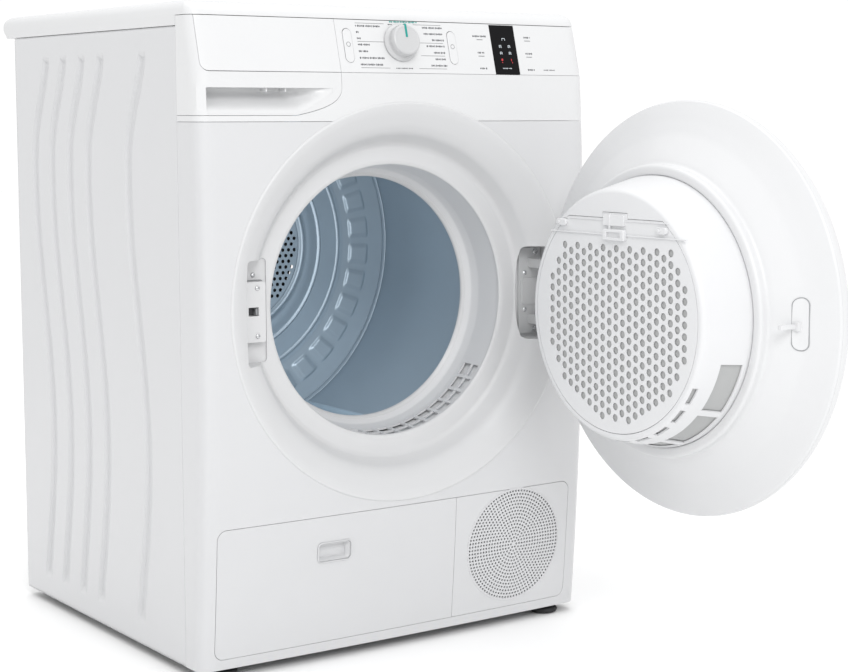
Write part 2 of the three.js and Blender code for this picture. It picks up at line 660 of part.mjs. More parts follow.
const foot = ([i, j]) =>
  join(
    post(23, [0, 8], i * FOOT.x, j * FOOT.y, 18),
    post(11, [7.5, 12], i * FOOT.x, j * FOOT.y, 6),
    post(5, [6, 33], i * FOOT.x, j * FOOT.y, 12),
  );

function heatExchanger() {
  const block = box([-272, -60], [62, 430], [24, 188]);
  const crossflow = [40, 68, 96, 124, 152].map((z) => box([-290, -40], [90, 400], [z, z + 16]));
  const handle = box([-190, -142], [52, 66], [96, 118]);
  const grip = box([-184, -148], [50, 63], [90, 112]);
  return cut(join(block, handle), ...crossflow, grip);
}

const lever = (x) =>
  join(
    box([x - 5, x + 5], [LEVER.d, LEVER.d + 5], [LEVER.z - 26, LEVER.z + 6]),
    bar(9, [LEVER.d, LEVER.d + 9.6], x, LEVER.z, 14),
  );

const drainPump = () =>
  join(bar(24, [506, 556], -200, 62, 18), box([-224, -176], [506, 550], [19, 50]));

function powerModule() {
  const shell = box([196, 288], [528, 566], [690, 806]);
  return cut(shell, box([206, 278], [520, 534], [700, 796]));
}

const mainsInlet = () =>
  join(
    bar(14, [DEPTH - 6, DEPTH + 16], INLET.x, INLET.z, 16),
    bar(19, [DEPTH + 0.4, DEPTH + 6], INLET.x, INLET.z, 16),
  );

// ---- door, made shut and then swung open --------------------------------------------------------
const doorSwing = new THREE.Group();
doorSwing.position.set(DOOR.pivotX, depth(DOOR.pivotD), 0);
doorSwing.rotation.z = THREE.MathUtils.degToRad(DOOR.open);
const door = new THREE.Group();
door.position.set(-DOOR.pivotX, -depth(DOOR.pivotD), 0);
doorSwing.add(door);
dryer.add(doorSwing);

const armNotch = (d0, d1, x0 = 225) =>
  join(...ARM.z.map((z) => box([x0, 275], [d0, d1], [z - ARM.half - 1.5, z + ARM.half + 1.5])));

function doorTrimRing() {
  const { rim, edge } = DOOR;
  const outer = [[178, -45], [212, -44.5], [240, -39.5], [257, -31], [rim, edge], [rim, -10.4]];
  const inner = [
    [rim - 2.5, -10.4], [rim - 2.5, -18.2], [255, -28.8], [239, -36.8], [211.5, -41.9], [178, -42.4],
  ];
  const ring = turned([...outer, ...inner], 0, DISH.z, ROUND);
  const grip = frontal(roundedRect([-258, -226], [422, 505], 15), [-60, -33], 3);
  const cup = frontal(roundedRect([-260.5, -223.5], [419.5, 507.5], 17), [-39, -31], 3);
  const solidRing = turned([...outer, [178, -10.4]], 0, DISH.z, ROUND);
  return cut(join(ring, cup.intersect(solidRing)), grip, armNotch(-31, -5, 256));
}

const doorDisc = () =>
  turned(
    [[0, -33], [60, -34], [165, -41.5], [177.5, -43.5], [177.5, -40.5], [165, -38.5], [60, -31.2],
      [0, -30.2]],
    0, DISH.z, ROUND,
  );

function doorInnerPanel() {
  const face = [
    [DOOR.rim - 0.4, -10], [261.5, -6.5], [240, 0.5], [222, 8], [204, 19.5], [184.5, 30], [184.5, 43],
    [172, 43], [172, 30],
  ];
  const back = [
    [174.6, 30], [174.6, 40.4], [181.9, 40.4], [181.9, 28.3], [203, 16], [221, 5.2], [239, -2.2], [258, -10],
  ];
  return cut(turned([...face, ...back], 0, DISH.z, ROUND), armNotch(-15, 50));
}

const PLUG_LINE = (d) => PLUG.base + ((158 - PLUG.base) * (d - 46)) / 54;
const coverShape = (g) => {
  const s = new THREE.Shape();
  const r = COVER.r + g;
  const a = Math.asin((COVER.z1 + g - DISH.z) / r);
  s.absarc(0, DISH.z, r, a, -Math.PI - a, true);
  s.lineTo(-23 - g, COVER.z1 + g).lineTo(-23 - g, COVER.tab + g);
  s.lineTo(21 + g, COVER.tab + g).lineTo(21 + g, COVER.z1 + g);
  return s;
};

/** Ring sector between two angles in degrees, two radii and two depths, about the opening's axis. */
function sector([a0, a1], [r0, r1], span) {
  const [from, to] = [THREE.MathUtils.degToRad(a0), THREE.MathUtils.degToRad(a1)];
  const s = new THREE.Shape();
  s.absarc(0, DISH.z, r1, from, to, false);
  s.lineTo(r0 * Math.cos(to), DISH.z + r0 * Math.sin(to));
  s.absarc(0, DISH.z, r0, to, from, true);
  return frontal(s, span, 3);
}

function filterHousing() {
  const { base, face, depth: end } = PLUG;
  const shell = turned(
    [[base, 12], [base, 46], [PLUG_LINE(100), 100], [156, 106], [face, end], [60, end], [60, end - 2.6],
      [152, end - 2.6], [155.4, 99], [base - 2.6, 46], [base - 2.6, 12]],
    0, DISH.z, ROUND,
  );
  const mouth = frontal(coverShape(FIT), [100, 120], 16);
  const below = box([-200, 200], [100, 112], [200, COVER.z0 - 4]);
  const ledge = turned([[138, 104], [150.6, 104], [150.6, end - 2.5], [138, end - 2.5]], 0, DISH.z, 40);
  const opened = cut(shell, mouth, ...WINDOWS.map((a) => sector(a, [120, 190], [49, 80])));
  return join(opened, ledge.intersect(below));
}

function filterCover() {
  const plate = frontal(coverShape(0), [107.9, 110.2], 16);
  const holes = [];
  const pitch = 38;
  for (let i = -4; i <= 4; i++)
    for (let j = -4; j <= 3; j++) {
      const x = i * pitch * Math.sin(Math.PI / 3);
      const z = DISH.z - 8 + (j + (i % 2 ? 0.5 : 0)) * pitch;
      const far = Math.hypot(x, z - DISH.z) > 124;
      if (!far && z < COVER.z0 - 14) holes.push(bar(7, [100, 120], x, z, 6));
    }
  const ridge = box([-104, 104], [109.5, 112.4], [COVER.z0 - 1, COVER.z0 + 1]);
  const catchBoss = box([-20, 17], [109.5, 116], [556, 570]);
  const bosses = [-86, 91].map((x) => bar(5, [109.5, 114.5], x, 572, 10));
  return join(cut(plate, ...holes), ridge, catchBoss, ...bosses);
}

function lintFilter() {
  const frame = cut(bar(128, [84, 96], 0, DISH.z, 32), bar(120, [86.5, 99], 0, DISH.z, 32));
  const windows = [];
  for (const [x, z] of [[-62, 38], [0, 38], [62, 38], [-62, -38], [0, -38], [62, -38]])
    windows.push(box([x - 24, x + 24], [80, 100], [DISH.z + z - 30, DISH.z + z + 30]));
  return cut(frame, ...windows);
}

function doorHook() {
  const plate = turned([[208, 17.4], [228, 5.9], [228, 6.9], [208, 18.4]], 0, DISH.z, ROUND)
    .intersect(frontal(roundedRect([-226.4, -209.6], [434, 495], 8.3), [0, 40], 3));
  const stem = upright(
    [[-216, 13.1], [-212, 15.4], [-212, 37.6], [-208.2, 37.6], [-208.2, 41], [-216, 41]], [459, 465]);
  return join(plate, stem);
}

function hingeLeaf() {
  const [z0, z1] = [ARM.z[0] + ARM.half + 0.6, ARM.z[1] - ARM.half - 0.6];
  const knuckle = post(6, [z0, z1], DOOR.pivotX, depth(DOOR.pivotD), 16);
  const leaf = box([205, DOOR.pivotX], [DOOR.pivotD - 6, DOOR.pivotD - 2], [z0, z1]);
  const bore = post(3.3, [z0 - 5, z1 + 5], DOOR.pivotX, depth(DOOR.pivotD), 16);
  return cut(join(knuckle, leaf), bore);
}

// ---- put it together ----------------------------------------------------------------------------
add("base_tray", baseTray(), finish(0x7d8084, 0.7));
feet.forEach((at, i) => add(`foot_${i + 1}`, foot(at), RUBBER));
add("left_side_panel", sidePanel(-1), WHITE);
add("right_side_panel", sidePanel(1), WHITE);
add("rear_panel", rearPanel(), ZINC);
add("rear_duct_cover", rearCover(), ZINC);
add("worktop", worktop(), WHITE);
add("front_panel", frontPanel(), WHITE);
add("kick_flap", kickFlap(), WHITE);
add("grille_panel", grillePanel(), WHITE);
add("control_fascia", controlFascia(), WHITE);
add("lower_fascia", lowerFascia(), WHITE);
add("display_window", displayWindow(), BLACK);
add("power_button", pushButton(BUTTON.left), WHITE);
add("start_button", pushButton(BUTTON.right), WHITE);
const knobSeat = onFascia(KNOB.x, KNOB.z);
dryer.add(knobSeat);
add("program_knob", knobBody(), MOULD, knobSeat);
add("control_board", controlBoard(), BOARD);
add("tank_front", tankFront(), WHITE);
add("water_tank", waterTank(), FILM);
add("dish_ring", dishRing(), DISH_GREY);
add("latch_plate", latchPlate(), MOULD);
add("latch_catch", latchCatch(), ZINC);
add("hinge_bracket", hingeBracket(), ZINC);
add("hinge_pin", hingePin(), STEEL);
add("throat_funnel", throatFunnel(), MOULD);
add("front_shield", frontShield(), ZINC);
add("front_felt_seal", feltSeal(), FELT);
add("drum_shell", drumShell(), STEEL);
add("drum_back", drumBack(), STEEL);
[45, 165, 285].forEach((a, i) => add(`lifter_${i + 1}`, lifter(a), STEEL));
add("rear_bearing", bearing(), ZINC);
add("drive_belt", driveBelt(), RUBBER);
add("front_roller_left", roller(-ROLLER.x), RUBBER);
add("front_roller_right", roller(ROLLER.x), RUBBER);
add("motor", motor(), ZINC);
add("motor_pulley", motorPulley(), STEEL);
add("cooling_fan", fanWheel(66, [70, 98], 6.4, 95), BLACK);
add("process_fan", fanWheel(74, [440, 478], 8.4, 474), BLACK);
add("fan_housing", fanHousing(), FILM);
add("tensioner_arm", tensionerArm(), ZINC);
add("tensioner_pulley", idlerPulley(), BLACK);
add("heat_exchanger", heatExchanger(), ALUMINIUM);
LEVER.x.forEach((x, i) => add(`condenser_lever_${i + 1}`, lever(x), BLACK));
add("drain_pump", drainPump(), BLACK);
add("power_module", powerModule(), FILM);
add("mains_inlet", mainsInlet(), BLACK);
add("door_trim_ring", doorTrimRing(), WHITE, door);
add("door_disc", doorDisc(), WHITE, door);
add("door_inner_panel", doorInnerPanel(), WHITE, door);
add("filter_housing", filterHousing(), MOULD, door);
add("filter_cover", filterCover(), MOULD, door);
add("lint_filter", lintFilter(), FILM, door);
add("door_hook", doorHook(), WHITE, door);
add("hinge_leaf", hingeLeaf(), ZINC, door);

export default dryer;
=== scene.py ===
"""A clothes dryer with its door open, dressed for a studio view over its CAD nodes.

Sizes are millimetres: x to the right, depth d back from the flat datum of the front, z up.
"""

import json
import logging
import math
from collections.abc import Callable, Iterable, Sequence
from dataclasses import dataclass, field
from enum import Enum

import bmesh
import bpy
from mathutils import Matrix, Vector
from mathutils.geometry import delaunay_2d_cdt

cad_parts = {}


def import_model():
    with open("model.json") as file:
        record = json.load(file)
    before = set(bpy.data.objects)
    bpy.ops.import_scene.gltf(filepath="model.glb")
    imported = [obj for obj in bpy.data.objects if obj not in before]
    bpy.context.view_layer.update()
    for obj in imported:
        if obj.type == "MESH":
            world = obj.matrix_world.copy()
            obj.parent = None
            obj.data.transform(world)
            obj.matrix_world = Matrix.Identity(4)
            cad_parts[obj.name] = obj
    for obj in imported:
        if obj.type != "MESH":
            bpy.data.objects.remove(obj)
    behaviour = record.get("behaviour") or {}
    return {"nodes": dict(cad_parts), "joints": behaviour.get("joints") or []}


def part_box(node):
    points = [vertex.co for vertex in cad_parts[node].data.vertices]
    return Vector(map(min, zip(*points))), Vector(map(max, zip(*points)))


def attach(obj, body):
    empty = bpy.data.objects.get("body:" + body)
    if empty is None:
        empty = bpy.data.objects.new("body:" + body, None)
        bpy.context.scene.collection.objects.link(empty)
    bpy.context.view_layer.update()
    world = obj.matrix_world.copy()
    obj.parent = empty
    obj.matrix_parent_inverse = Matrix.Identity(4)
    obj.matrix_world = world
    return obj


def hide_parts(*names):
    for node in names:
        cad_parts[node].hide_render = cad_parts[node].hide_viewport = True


log = logging.getLogger("dryer")

MM = 0.001
TAU = 2 * math.pi
BODY_DEPTH = 576.0
COAT_ROUGHNESS = 0.12
RELIEF_DEPTH = 0.0006
BROAD_STEP = 60
GLOSS_SPREAD = 0.12
SMOOTH_ANGLE = 35.0
SOFT_ANGLE = 40.0
MERGE_DISTANCE = 0.00001

Point2 = tuple[float, float]
Point3 = tuple[float, float, float]
Spot = tuple[float, float, float, float]
Rect = tuple[float, float, float, float]
Bar = tuple[float, float, float, float]
Loop = list[Point2]
Surface = Callable[[float, float], Point3]


# ---- finishes ---------------------------------------------------------------------------------


class Texture(Enum):
    """How the fine relief of a finish is laid."""

    FINE = (1.0, 1.0, 1.0)
    BRUSHED_DEPTH = (1.0, 0.04, 1.0)


@dataclass(frozen=True)
class Finish:
    """A procedural surface: a base colour with grain, wear tint and relief."""

    name: str
    slot: str
    colour: Point3
    roughness: float = 0.4
    metallic: float = 0.0
    grain: float = 900.0
    relief: float = 0.02
    mottle: float = 0.02
    coat: float = 0.0
    specular: float = 0.5
    texture: Texture = Texture.FINE

    def material(self) -> bpy.types.Material:
        """Find or build the material.

        Returns:
            The Blender material of this finish.
        """
        title = f"finish_{self.name}"
        made = bpy.data.materials.get(title)
        if made is not None:
            return made
        made = bpy.data.materials.new(title)
        made.use_nodes = True
        tree = made.node_tree
        shader = tree.nodes["Principled BSDF"]
        shader.inputs["Metallic"].default_value = self.metallic
        shader.inputs["Coat Weight"].default_value = self.coat
        shader.inputs["Coat Roughness"].default_value = COAT_ROUGHNESS
        shader.inputs["Specular IOR Level"].default_value = self.specular
        place = tree.nodes.new("ShaderNodeTexCoord")
        stretch = tree.nodes.new("ShaderNodeVectorMath")
        stretch.operation = "MULTIPLY"
        stretch.inputs[1].default_value = self.texture.value
        tree.links.new(place.outputs["Object"], stretch.inputs[0])
        fine = self._noise(tree, stretch.outputs[0], self.grain, 3.0)
        broad = self._noise(tree, stretch.outputs[0], self.grain / BROAD_STEP, 2.0)
        self._tint(tree, shader, broad)
        self._gloss(tree, shader, fine)
        bump = tree.nodes.new("ShaderNodeBump")
        bump.inputs["Strength"].default_value = self.relief
        bump.inputs["Distance"].default_value = RELIEF_DEPTH
        tree.links.new(fine, bump.inputs["Height"])
        tree.links.new(bump.outputs["Normal"], shader.inputs["Normal"])
        return made

    @staticmethod
    def _noise(
        tree: bpy.types.NodeTree,
        vector: bpy.types.NodeSocket,
        scale: float,
        detail: float,
    ) -> bpy.types.NodeSocket:
        """Add a noise texture.

        Args:
            tree: The node tree.
            vector: Where the coordinates come from.
            scale: Noise scale per metre.
            detail: Octaves.

        Returns:
            The noise value's socket.
        """
        noise = tree.nodes.new("ShaderNodeTexNoise")
        noise.inputs["Scale"].default_value = scale
        noise.inputs["Detail"].default_value = detail
        tree.links.new(vector, noise.inputs["Vector"])
        return noise.outputs["Fac"]

    def _tint(
        self,
        tree: bpy.types.NodeTree,
        shader: bpy.types.Node,
        broad: bpy.types.NodeSocket,
    ) -> None:
        """Mix the base colour with a slightly darker one in soft patches.

        Args:
            tree: The node tree.
            shader: The Principled node.
            broad: A low noise.
        """
        mix = tree.nodes.new("ShaderNodeMix")
        mix.data_type = "RGBA"
        dark = tuple(c * (1 - self.mottle) for c in self.colour)
        mix.inputs["A"].default_value = (*self.colour, 1.0)
        mix.inputs["B"].default_value = (*dark, 1.0)
        tree.links.new(broad, mix.inputs["Factor"])
        tree.links.new(mix.outputs["Result"], shader.inputs["Base Color"])

    def _gloss(
        self,
        tree: bpy.types.NodeTree,
        shader: bpy.types.Node,
        fine: bpy.types.NodeSocket,
    ) -> None:
        """Vary the roughness a little with the grain.

        Args:
            tree: The node tree.
            shader: The Principled node.
            fine: A high noise.
        """
        spread = tree.nodes.new("ShaderNodeMapRange")
        spread.inputs["To Min"].default_value = self.roughness * (1 - GLOSS_SPREAD)
        spread.inputs["To Max"].default_value = min(1.0, self.roughness * (1 + GLOSS_SPREAD))
        tree.links.new(fine, spread.inputs["Value"])
        tree.links.new(spread.outputs["Result"], shader.inputs["Roughness"])


ENAMEL = Finish("enamel", "white_enamel", (0.575, 0.579, 0.589), 0.3, relief=0.03, coat=0.25)
FASCIA_WHITE = Finish("fascia_white", "white_plastic", (0.64, 0.644, 0.65), 0.32, relief=0.02, coat=0.15)
LAMINATE = Finish("laminate", "worktop_laminate", (0.64, 0.644, 0.65), 0.36, relief=0.04)
DISH_PLASTIC = Finish("dish_plastic", "dish_plastic", (0.6, 0.603, 0.61), 0.42, relief=0.03)
KNOB_WHITE = Finish("knob_white", "inner_plastic", (0.5, 0.503, 0.51), 0.36, relief=0.05, coat=0.2)
MOULDED = Finish("moulded", "inner_plastic", (0.66, 0.664, 0.674), 0.4, relief=0.03)
DOOR_WHITE = Finish("door_white", "white_plastic", (0.65, 0.654, 0.662), 0.34, relief=0.02)
DRUM_STEEL = Finish(
    "drum_steel", "drum_steel", (0.32, 0.395, 0.46), 0.4, 0.35, grain=700.0, relief=0.05, mottle=0.06,
    texture=Texture.BRUSHED_DEPTH,
)
LIFTER_PLASTIC = Finish("lifter_plastic", "lifter_plastic", (0.28, 0.37, 0.45), 0.4, 0.2)
ZINC = Finish("zinc", "zinc_steel", (0.42, 0.43, 0.44), 0.42, 0.85, grain=160.0, relief=0.04, mottle=0.16)
SHINY = Finish("shiny_steel", "bright_steel", (0.6, 0.61, 0.62), 0.25, 0.95, mottle=0.05)
BLACK_GLASS = Finish("black_glass", "dark_screen", (0.004, 0.004, 0.005), 0.22, mottle=0.2, specular=0.12)
TEAL = Finish("teal_print", "white_plastic", (0.0, 0.27, 0.235), 0.4)
INK = Finish("grey_ink", "white_plastic", (0.09, 0.092, 0.1), 0.55)
ICON_WHITE = Finish("icon_white", "dark_screen", (0.55, 0.6, 0.64), 0.5)
ICON_RED = Finish("icon_red", "dark_screen", (0.5, 0.02, 0.03), 0.5)
RUBBER = Finish("black_rubber", "rubber", (0.022, 0.022, 0.024), 0.75, grain=500.0, relief=0.12, mottle=0.2)
GREY_RUBBER = Finish("soft_rubber", "grey_rubber", (0.2, 0.2, 0.21), 0.7, relief=0.08)
FELT = Finish("wool_felt", "felt", (0.5, 0.485, 0.46), 0.95, grain=1500.0, relief=0.5, mottle=0.25)
CLEAR = Finish("milky_plastic", "clear_plastic", (0.62, 0.67, 0.7), 0.28, relief=0.03, coat=0.1)
BOARD = Finish("circuit_green", "circuit_board", (0.03, 0.16, 0.07), 0.5, grain=400.0, mottle=0.35)
CASING = Finish("casing_grey", "condenser_casing", (0.35, 0.36, 0.37), 0.4, 0.3, mottle=0.08)
MOTOR = Finish("motor_metal", "motor_metal", (0.3, 0.31, 0.32), 0.4, 0.8, grain=300.0, mottle=0.15)
GREY_PLASTIC = Finish("grey_plastic", "grey_plastic", (0.24, 0.25, 0.26), 0.5, relief=0.06)
# Black plastic of the inlet socket, fans, pulley and pump; also laid behind the drum sieve as painted shade.
BLACK_PLASTIC_AND_SHADE = Finish("black_plastic", "black_plastic", (0.018, 0.018, 0.02), 0.45, relief=0.06)
GAUZE = Finish("filter_gauze", "filter_mesh", (0.4, 0.405, 0.405), 0.7, grain=2500.0, relief=0.4)
HINGE_GREY = Finish("hinge_grey", "zinc_steel", (0.55, 0.555, 0.56), 0.45, 0.3, relief=0.04)
# Near-black grey laid at the bottom of the latch slot as painted shade.
SLOT_PAINTED_SHADE = Finish("shadow_grey", "grey_plastic", (0.05, 0.05, 0.055), 0.7)


# ---- the shared frame -------------------------------------------------------------------------


class Frame:
    """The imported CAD: its nodes, its joints and the places read from them."""

    def __init__(self) -> None:
        """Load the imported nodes."""
        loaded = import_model()
        self.nodes: dict[str, bpy.types.Object] = loaded["nodes"]
        self.joints = {j["name"]: j for j in loaded["joints"]}
        self.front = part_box("rear_panel")[1].y / MM - BODY_DEPTH

    def plan(self, node: str) -> Point2:
        """Middle of a node seen from above."""
        low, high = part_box(node)
        return ((low.x + high.x) / 2 / MM, (low.y + high.y) / 2 / MM - self.front)

    def place(self, x: float, d: float, z: float) -> Vector:
        """Turn millimetres and depth into the frame's metres."""
        return Vector((x * MM, (self.front + d) * MM, z * MM))

    def joint(self, name: str) -> Point3:
        """Position of a joint in millimetres and depth."""
        x, y, z = self.joints[name]["pos_m"]
        return (x / MM, y / MM - self.front, z / MM)

    def door_matrix(self) -> Matrix:
        """Turn from the shut door to the open one it is shown in.

        Returns:
            The matrix in metres.
        """
        joint = self.joints["door_hinge"]
        pivot = Vector(joint["pos_m"])
        angle = -math.radians(joint["range_deg"][0])
        return Matrix.Translation(pivot) @ Matrix.Rotation(angle, 4, "Z") @ Matrix.Translation(-pivot)


# ---- outlines ---------------------------------------------------------------------------------


def arc(x: float, z: float, r: float, start: float, end: float, steps: int) -> Loop:
    """Points along a circular arc."""
    turn = [math.radians(start + (end - start) * k / steps) for k in range(steps + 1)]
    return [(x + r * math.cos(a), z + r * math.sin(a)) for a in turn]


def circle(x: float, z: float, r: float, sides: int) -> Loop:
    """A full circle."""
    return arc(x, z, r, 0, 360, sides)[:-1]


def rounded(x0: float, x1: float, z0: float, z1: float, r: float, steps: int = 8) -> Loop:
    """A rectangle with round corners."""
    corners = [(x1 - r, z0 + r, -90), (x1 - r, z1 - r, 0), (x0 + r, z1 - r, 90), (x0 + r, z0 + r, 180)]
    return [p for x, z, a in corners for p in arc(x, z, r, a, a + 90, steps)]


def divided(loop: Sequence[Point2], step: float, closed: bool = True) -> Loop:
    """Cut the long sides of an outline into shorter ones.

    Args:
        loop: The outline.
        step: Longest side wanted.
        closed: Whether the last point joins the first.

    Returns:
        The finer outline.
    """
    ends = list(loop[1:]) + ([loop[0]] if closed else [])
    fine: Loop = []
    for (x0, z0), (x1, z1) in zip(loop, ends):
        parts = max(1, math.ceil(math.hypot(x1 - x0, z1 - z0) / step))
        fine += [(x0 + (x1 - x0) * k / parts, z0 + (z1 - z0) * k / parts) for k in range(parts)]
    return fine if closed else [*fine, loop[-1]]


def filleted(points: Sequence[Point2], radius: float, closed: bool = True, steps: int = 4) -> Loop:
    """Round the corners of an outline.

    Args:
        points: The corner points.
        radius: How far along each side a corner starts to turn.
        closed: Whether the outline is closed.
        steps: Steps per corner.

    Returns:
        The rounded outline.
    """
    count = len(points)
    made: Loop = []
    for i, (x, z) in enumerate(points):
        if not closed and i in (0, count - 1):
            made.append((x, z))
            continue
        before, after = points[i - 1], points[(i + 1) % count]
        back = math.dist(before, (x, z))
        on = math.dist(after, (x, z))
        cut = min(radius, 0.45 * back, 0.45 * on)
        a = (x + (before[0] - x) * cut / back, z + (before[1] - z) * cut / back)
        b = (x + (after[0] - x) * cut / on, z + (after[1] - z) * cut / on)
        for k in range(steps + 1):
            t = k / steps
            weights = ((1 - t) ** 2, 2 * t * (1 - t), t * t)
            made.append(tuple(sum(w * p[i] for w, p in zip(weights, (a, (x, z), b))) for i in (0, 1)))
    return made


def smooth(t: float) -> float:
    """Ease from 0 to 1."""
    t = min(1.0, max(0.0, t))
    return t * t * (3 - 2 * t)


# ---- meshes -----------------------------------------------------------------------------------


class Facing(Enum):
    """Which way a screw head looks along the depth."""

    FRONT = -1
    BACK = 1


class Join(Enum):
    """What a tool's shape does to a piece."""

    TAKE_AWAY = "DIFFERENCE"
    ADD = "UNION"
    KEEP_INSIDE = "INTERSECT"


@dataclass
class Shape:
    """Vertices in millimetres and depth, with faces."""

    points: list[Point3] = field(default_factory=list)
    faces: list[tuple[int, ...]] = field(default_factory=list)

    def add(self, other: "Shape") -> "Shape":
        """Append another shape.

        Args:
            other: The shape to append.

        Returns:
            This shape.
        """
        base = len(self.points)
        self.points += other.points
        self.faces += [tuple(i + base for i in f) for f in other.faces]
        return self

    def moved(self, change: Callable[[Point3], Point3]) -> "Shape":
        """Map every point."""
        return Shape([change(p) for p in self.points], list(self.faces))

    def tipped(self) -> "Shape":
        """Swap depth and height, so that an outline drawn in plan becomes upright."""
        return self.moved(lambda p: (p[0], p[2], p[1]))


def grid(rows: int, columns: int, at: Callable[[int, int], Point3], wrap: bool = False) -> Shape:
    """A sheet of quads.

    Args:
        rows: Number of rows.
        columns: Number of columns.
        at: Point of a row and a column.
        wrap: Whether the last row joins the first.

    Returns:
        The sheet.
    """
    points = [at(i, j) for i in range(rows) for j in range(columns)]
    faces = []
    for i in range(rows if wrap else rows - 1):
        near, far = i * columns, ((i + 1) % rows) * columns
        faces += [(near + j, near + j + 1, far + j + 1, far + j) for j in range(columns - 1)]
    return Shape(points, faces)


def lathe(profile: Sequence[Point2], centre: Point2, sides: int, closed: bool = True) -> Shape:
    """Turn a profile of radius and depth about a front-to-back line.

    Args:
        profile: Radius and depth of each point.
        centre: x and z of the line.
        sides: Number of sides.
        closed: Whether the profile is a closed outline.

    Returns:
        The turned shape.
    """
    line = [*profile, profile[0]] if closed else list(profile)

    def at(i: int, j: int) -> Point3:
        a = TAU * i / sides
        r, d = line[j]
        return (centre[0] + r * math.cos(a), d, centre[1] + r * math.sin(a))

    return grid(sides, len(line), at, wrap=True)


def filled(outline: Loop, holes: Iterable[Loop], spacing: float, surface: Surface) -> Shape:
    """Triangulate an outline with holes and lay it on a surface.

    Args:
        outline: The closed outer loop.
        holes: Closed loops to leave open.
        spacing: Distance of the inner support points, or 0 for none.
        surface: Gives the point of a pair of flat coordinates.

    Returns:
        The triangulated sheet.
    """
    loops = [outline, *holes]
    flat = [Vector(p) for loop in loops for p in loop]
    sides, faces, base = [], [], 0
    for loop in loops:
        ring = list(range(base, base + len(loop)))
        sides += list(zip(ring, ring[1:] + ring[:1]))
        faces.append(ring)
        base += len(loop)
    if spacing:
        flat += support_points(outline, flat, spacing)
    points, _, triangles, _, _, owners = delaunay_2d_cdt(flat, sides, faces, 1, 1e-5)
    kept = [tuple(t) for t, own in zip(triangles, owners) if own == [0]]
    return Shape([surface(p.x, p.y) for p in points], kept)


def support_points(outline: Loop, edge: list[Vector], spacing: float) -> list[Vector]:
    """Grid points inside an outline, kept clear of its edges.

    Args:
        outline: The outer loop.
        edge: Every point on the outline and its holes.
        spacing: Grid distance.

    Returns:
        The inner points.
    """
    taken = {(round(p.x / spacing), round(p.y / spacing)) for p in edge}
    xs, zs = [p[0] for p in outline], [p[1] for p in outline]
    columns = range(math.ceil(min(xs) / spacing), math.floor(max(xs) / spacing) + 1)
    rows = range(math.ceil(min(zs) / spacing), math.floor(max(zs) / spacing) + 1)
    return [Vector((i * spacing, j * spacing)) for i in columns for j in rows if (i, j) not in taken]


def prism(loop: Loop, d0: float, d1: float) -> Shape:
    """Push an outline in x and z through a depth range.

    Args:
        loop: The closed outline.
        d0: Front depth.
        d1: Back depth.

    Returns:
        The closed solid.
    """
    count = len(loop)
    points = [(x, d, z) for d in (d0, d1) for x, z in loop]
    faces = [tuple(range(count)), tuple(reversed(range(count, 2 * count)))]
    faces += [(i, i + count, (i + 1) % count + count, (i + 1) % count) for i in range(count)]
    return Shape(points, faces)


def block(x: Point2, d: Point2, z: Point2) -> Shape:
    """A box between two corners."""
    return prism([(x[0], z[0]), (x[1], z[0]), (x[1], z[1]), (x[0], z[1])], *d)


def turned_up(profile: Sequence[Point2], x: float, d: float, sides: int) -> Shape:
    """Turn a profile of radius and height about an upright line."""
    spun = lathe(profile, (0.0, 0.0), sides)
    return spun.moved(lambda p: (x + p[0], d + p[2], p[1]))


def screw(x: float, d: float, z: float, r: float, facing: Facing = Facing.FRONT) -> Shape:
    """A pan-head screw with a cross slot, its head proud of a flat face."""
    profile = [(0.0, 1.2), (0.34, 1.2), (0.4, 2.1), (0.72, 1.8), (1.0, 0.9), (1.0, -0.6), (0.0, -0.6)]
    return lathe([(r * a, d + facing.value * b) for a, b in profile], (x, z), 20)


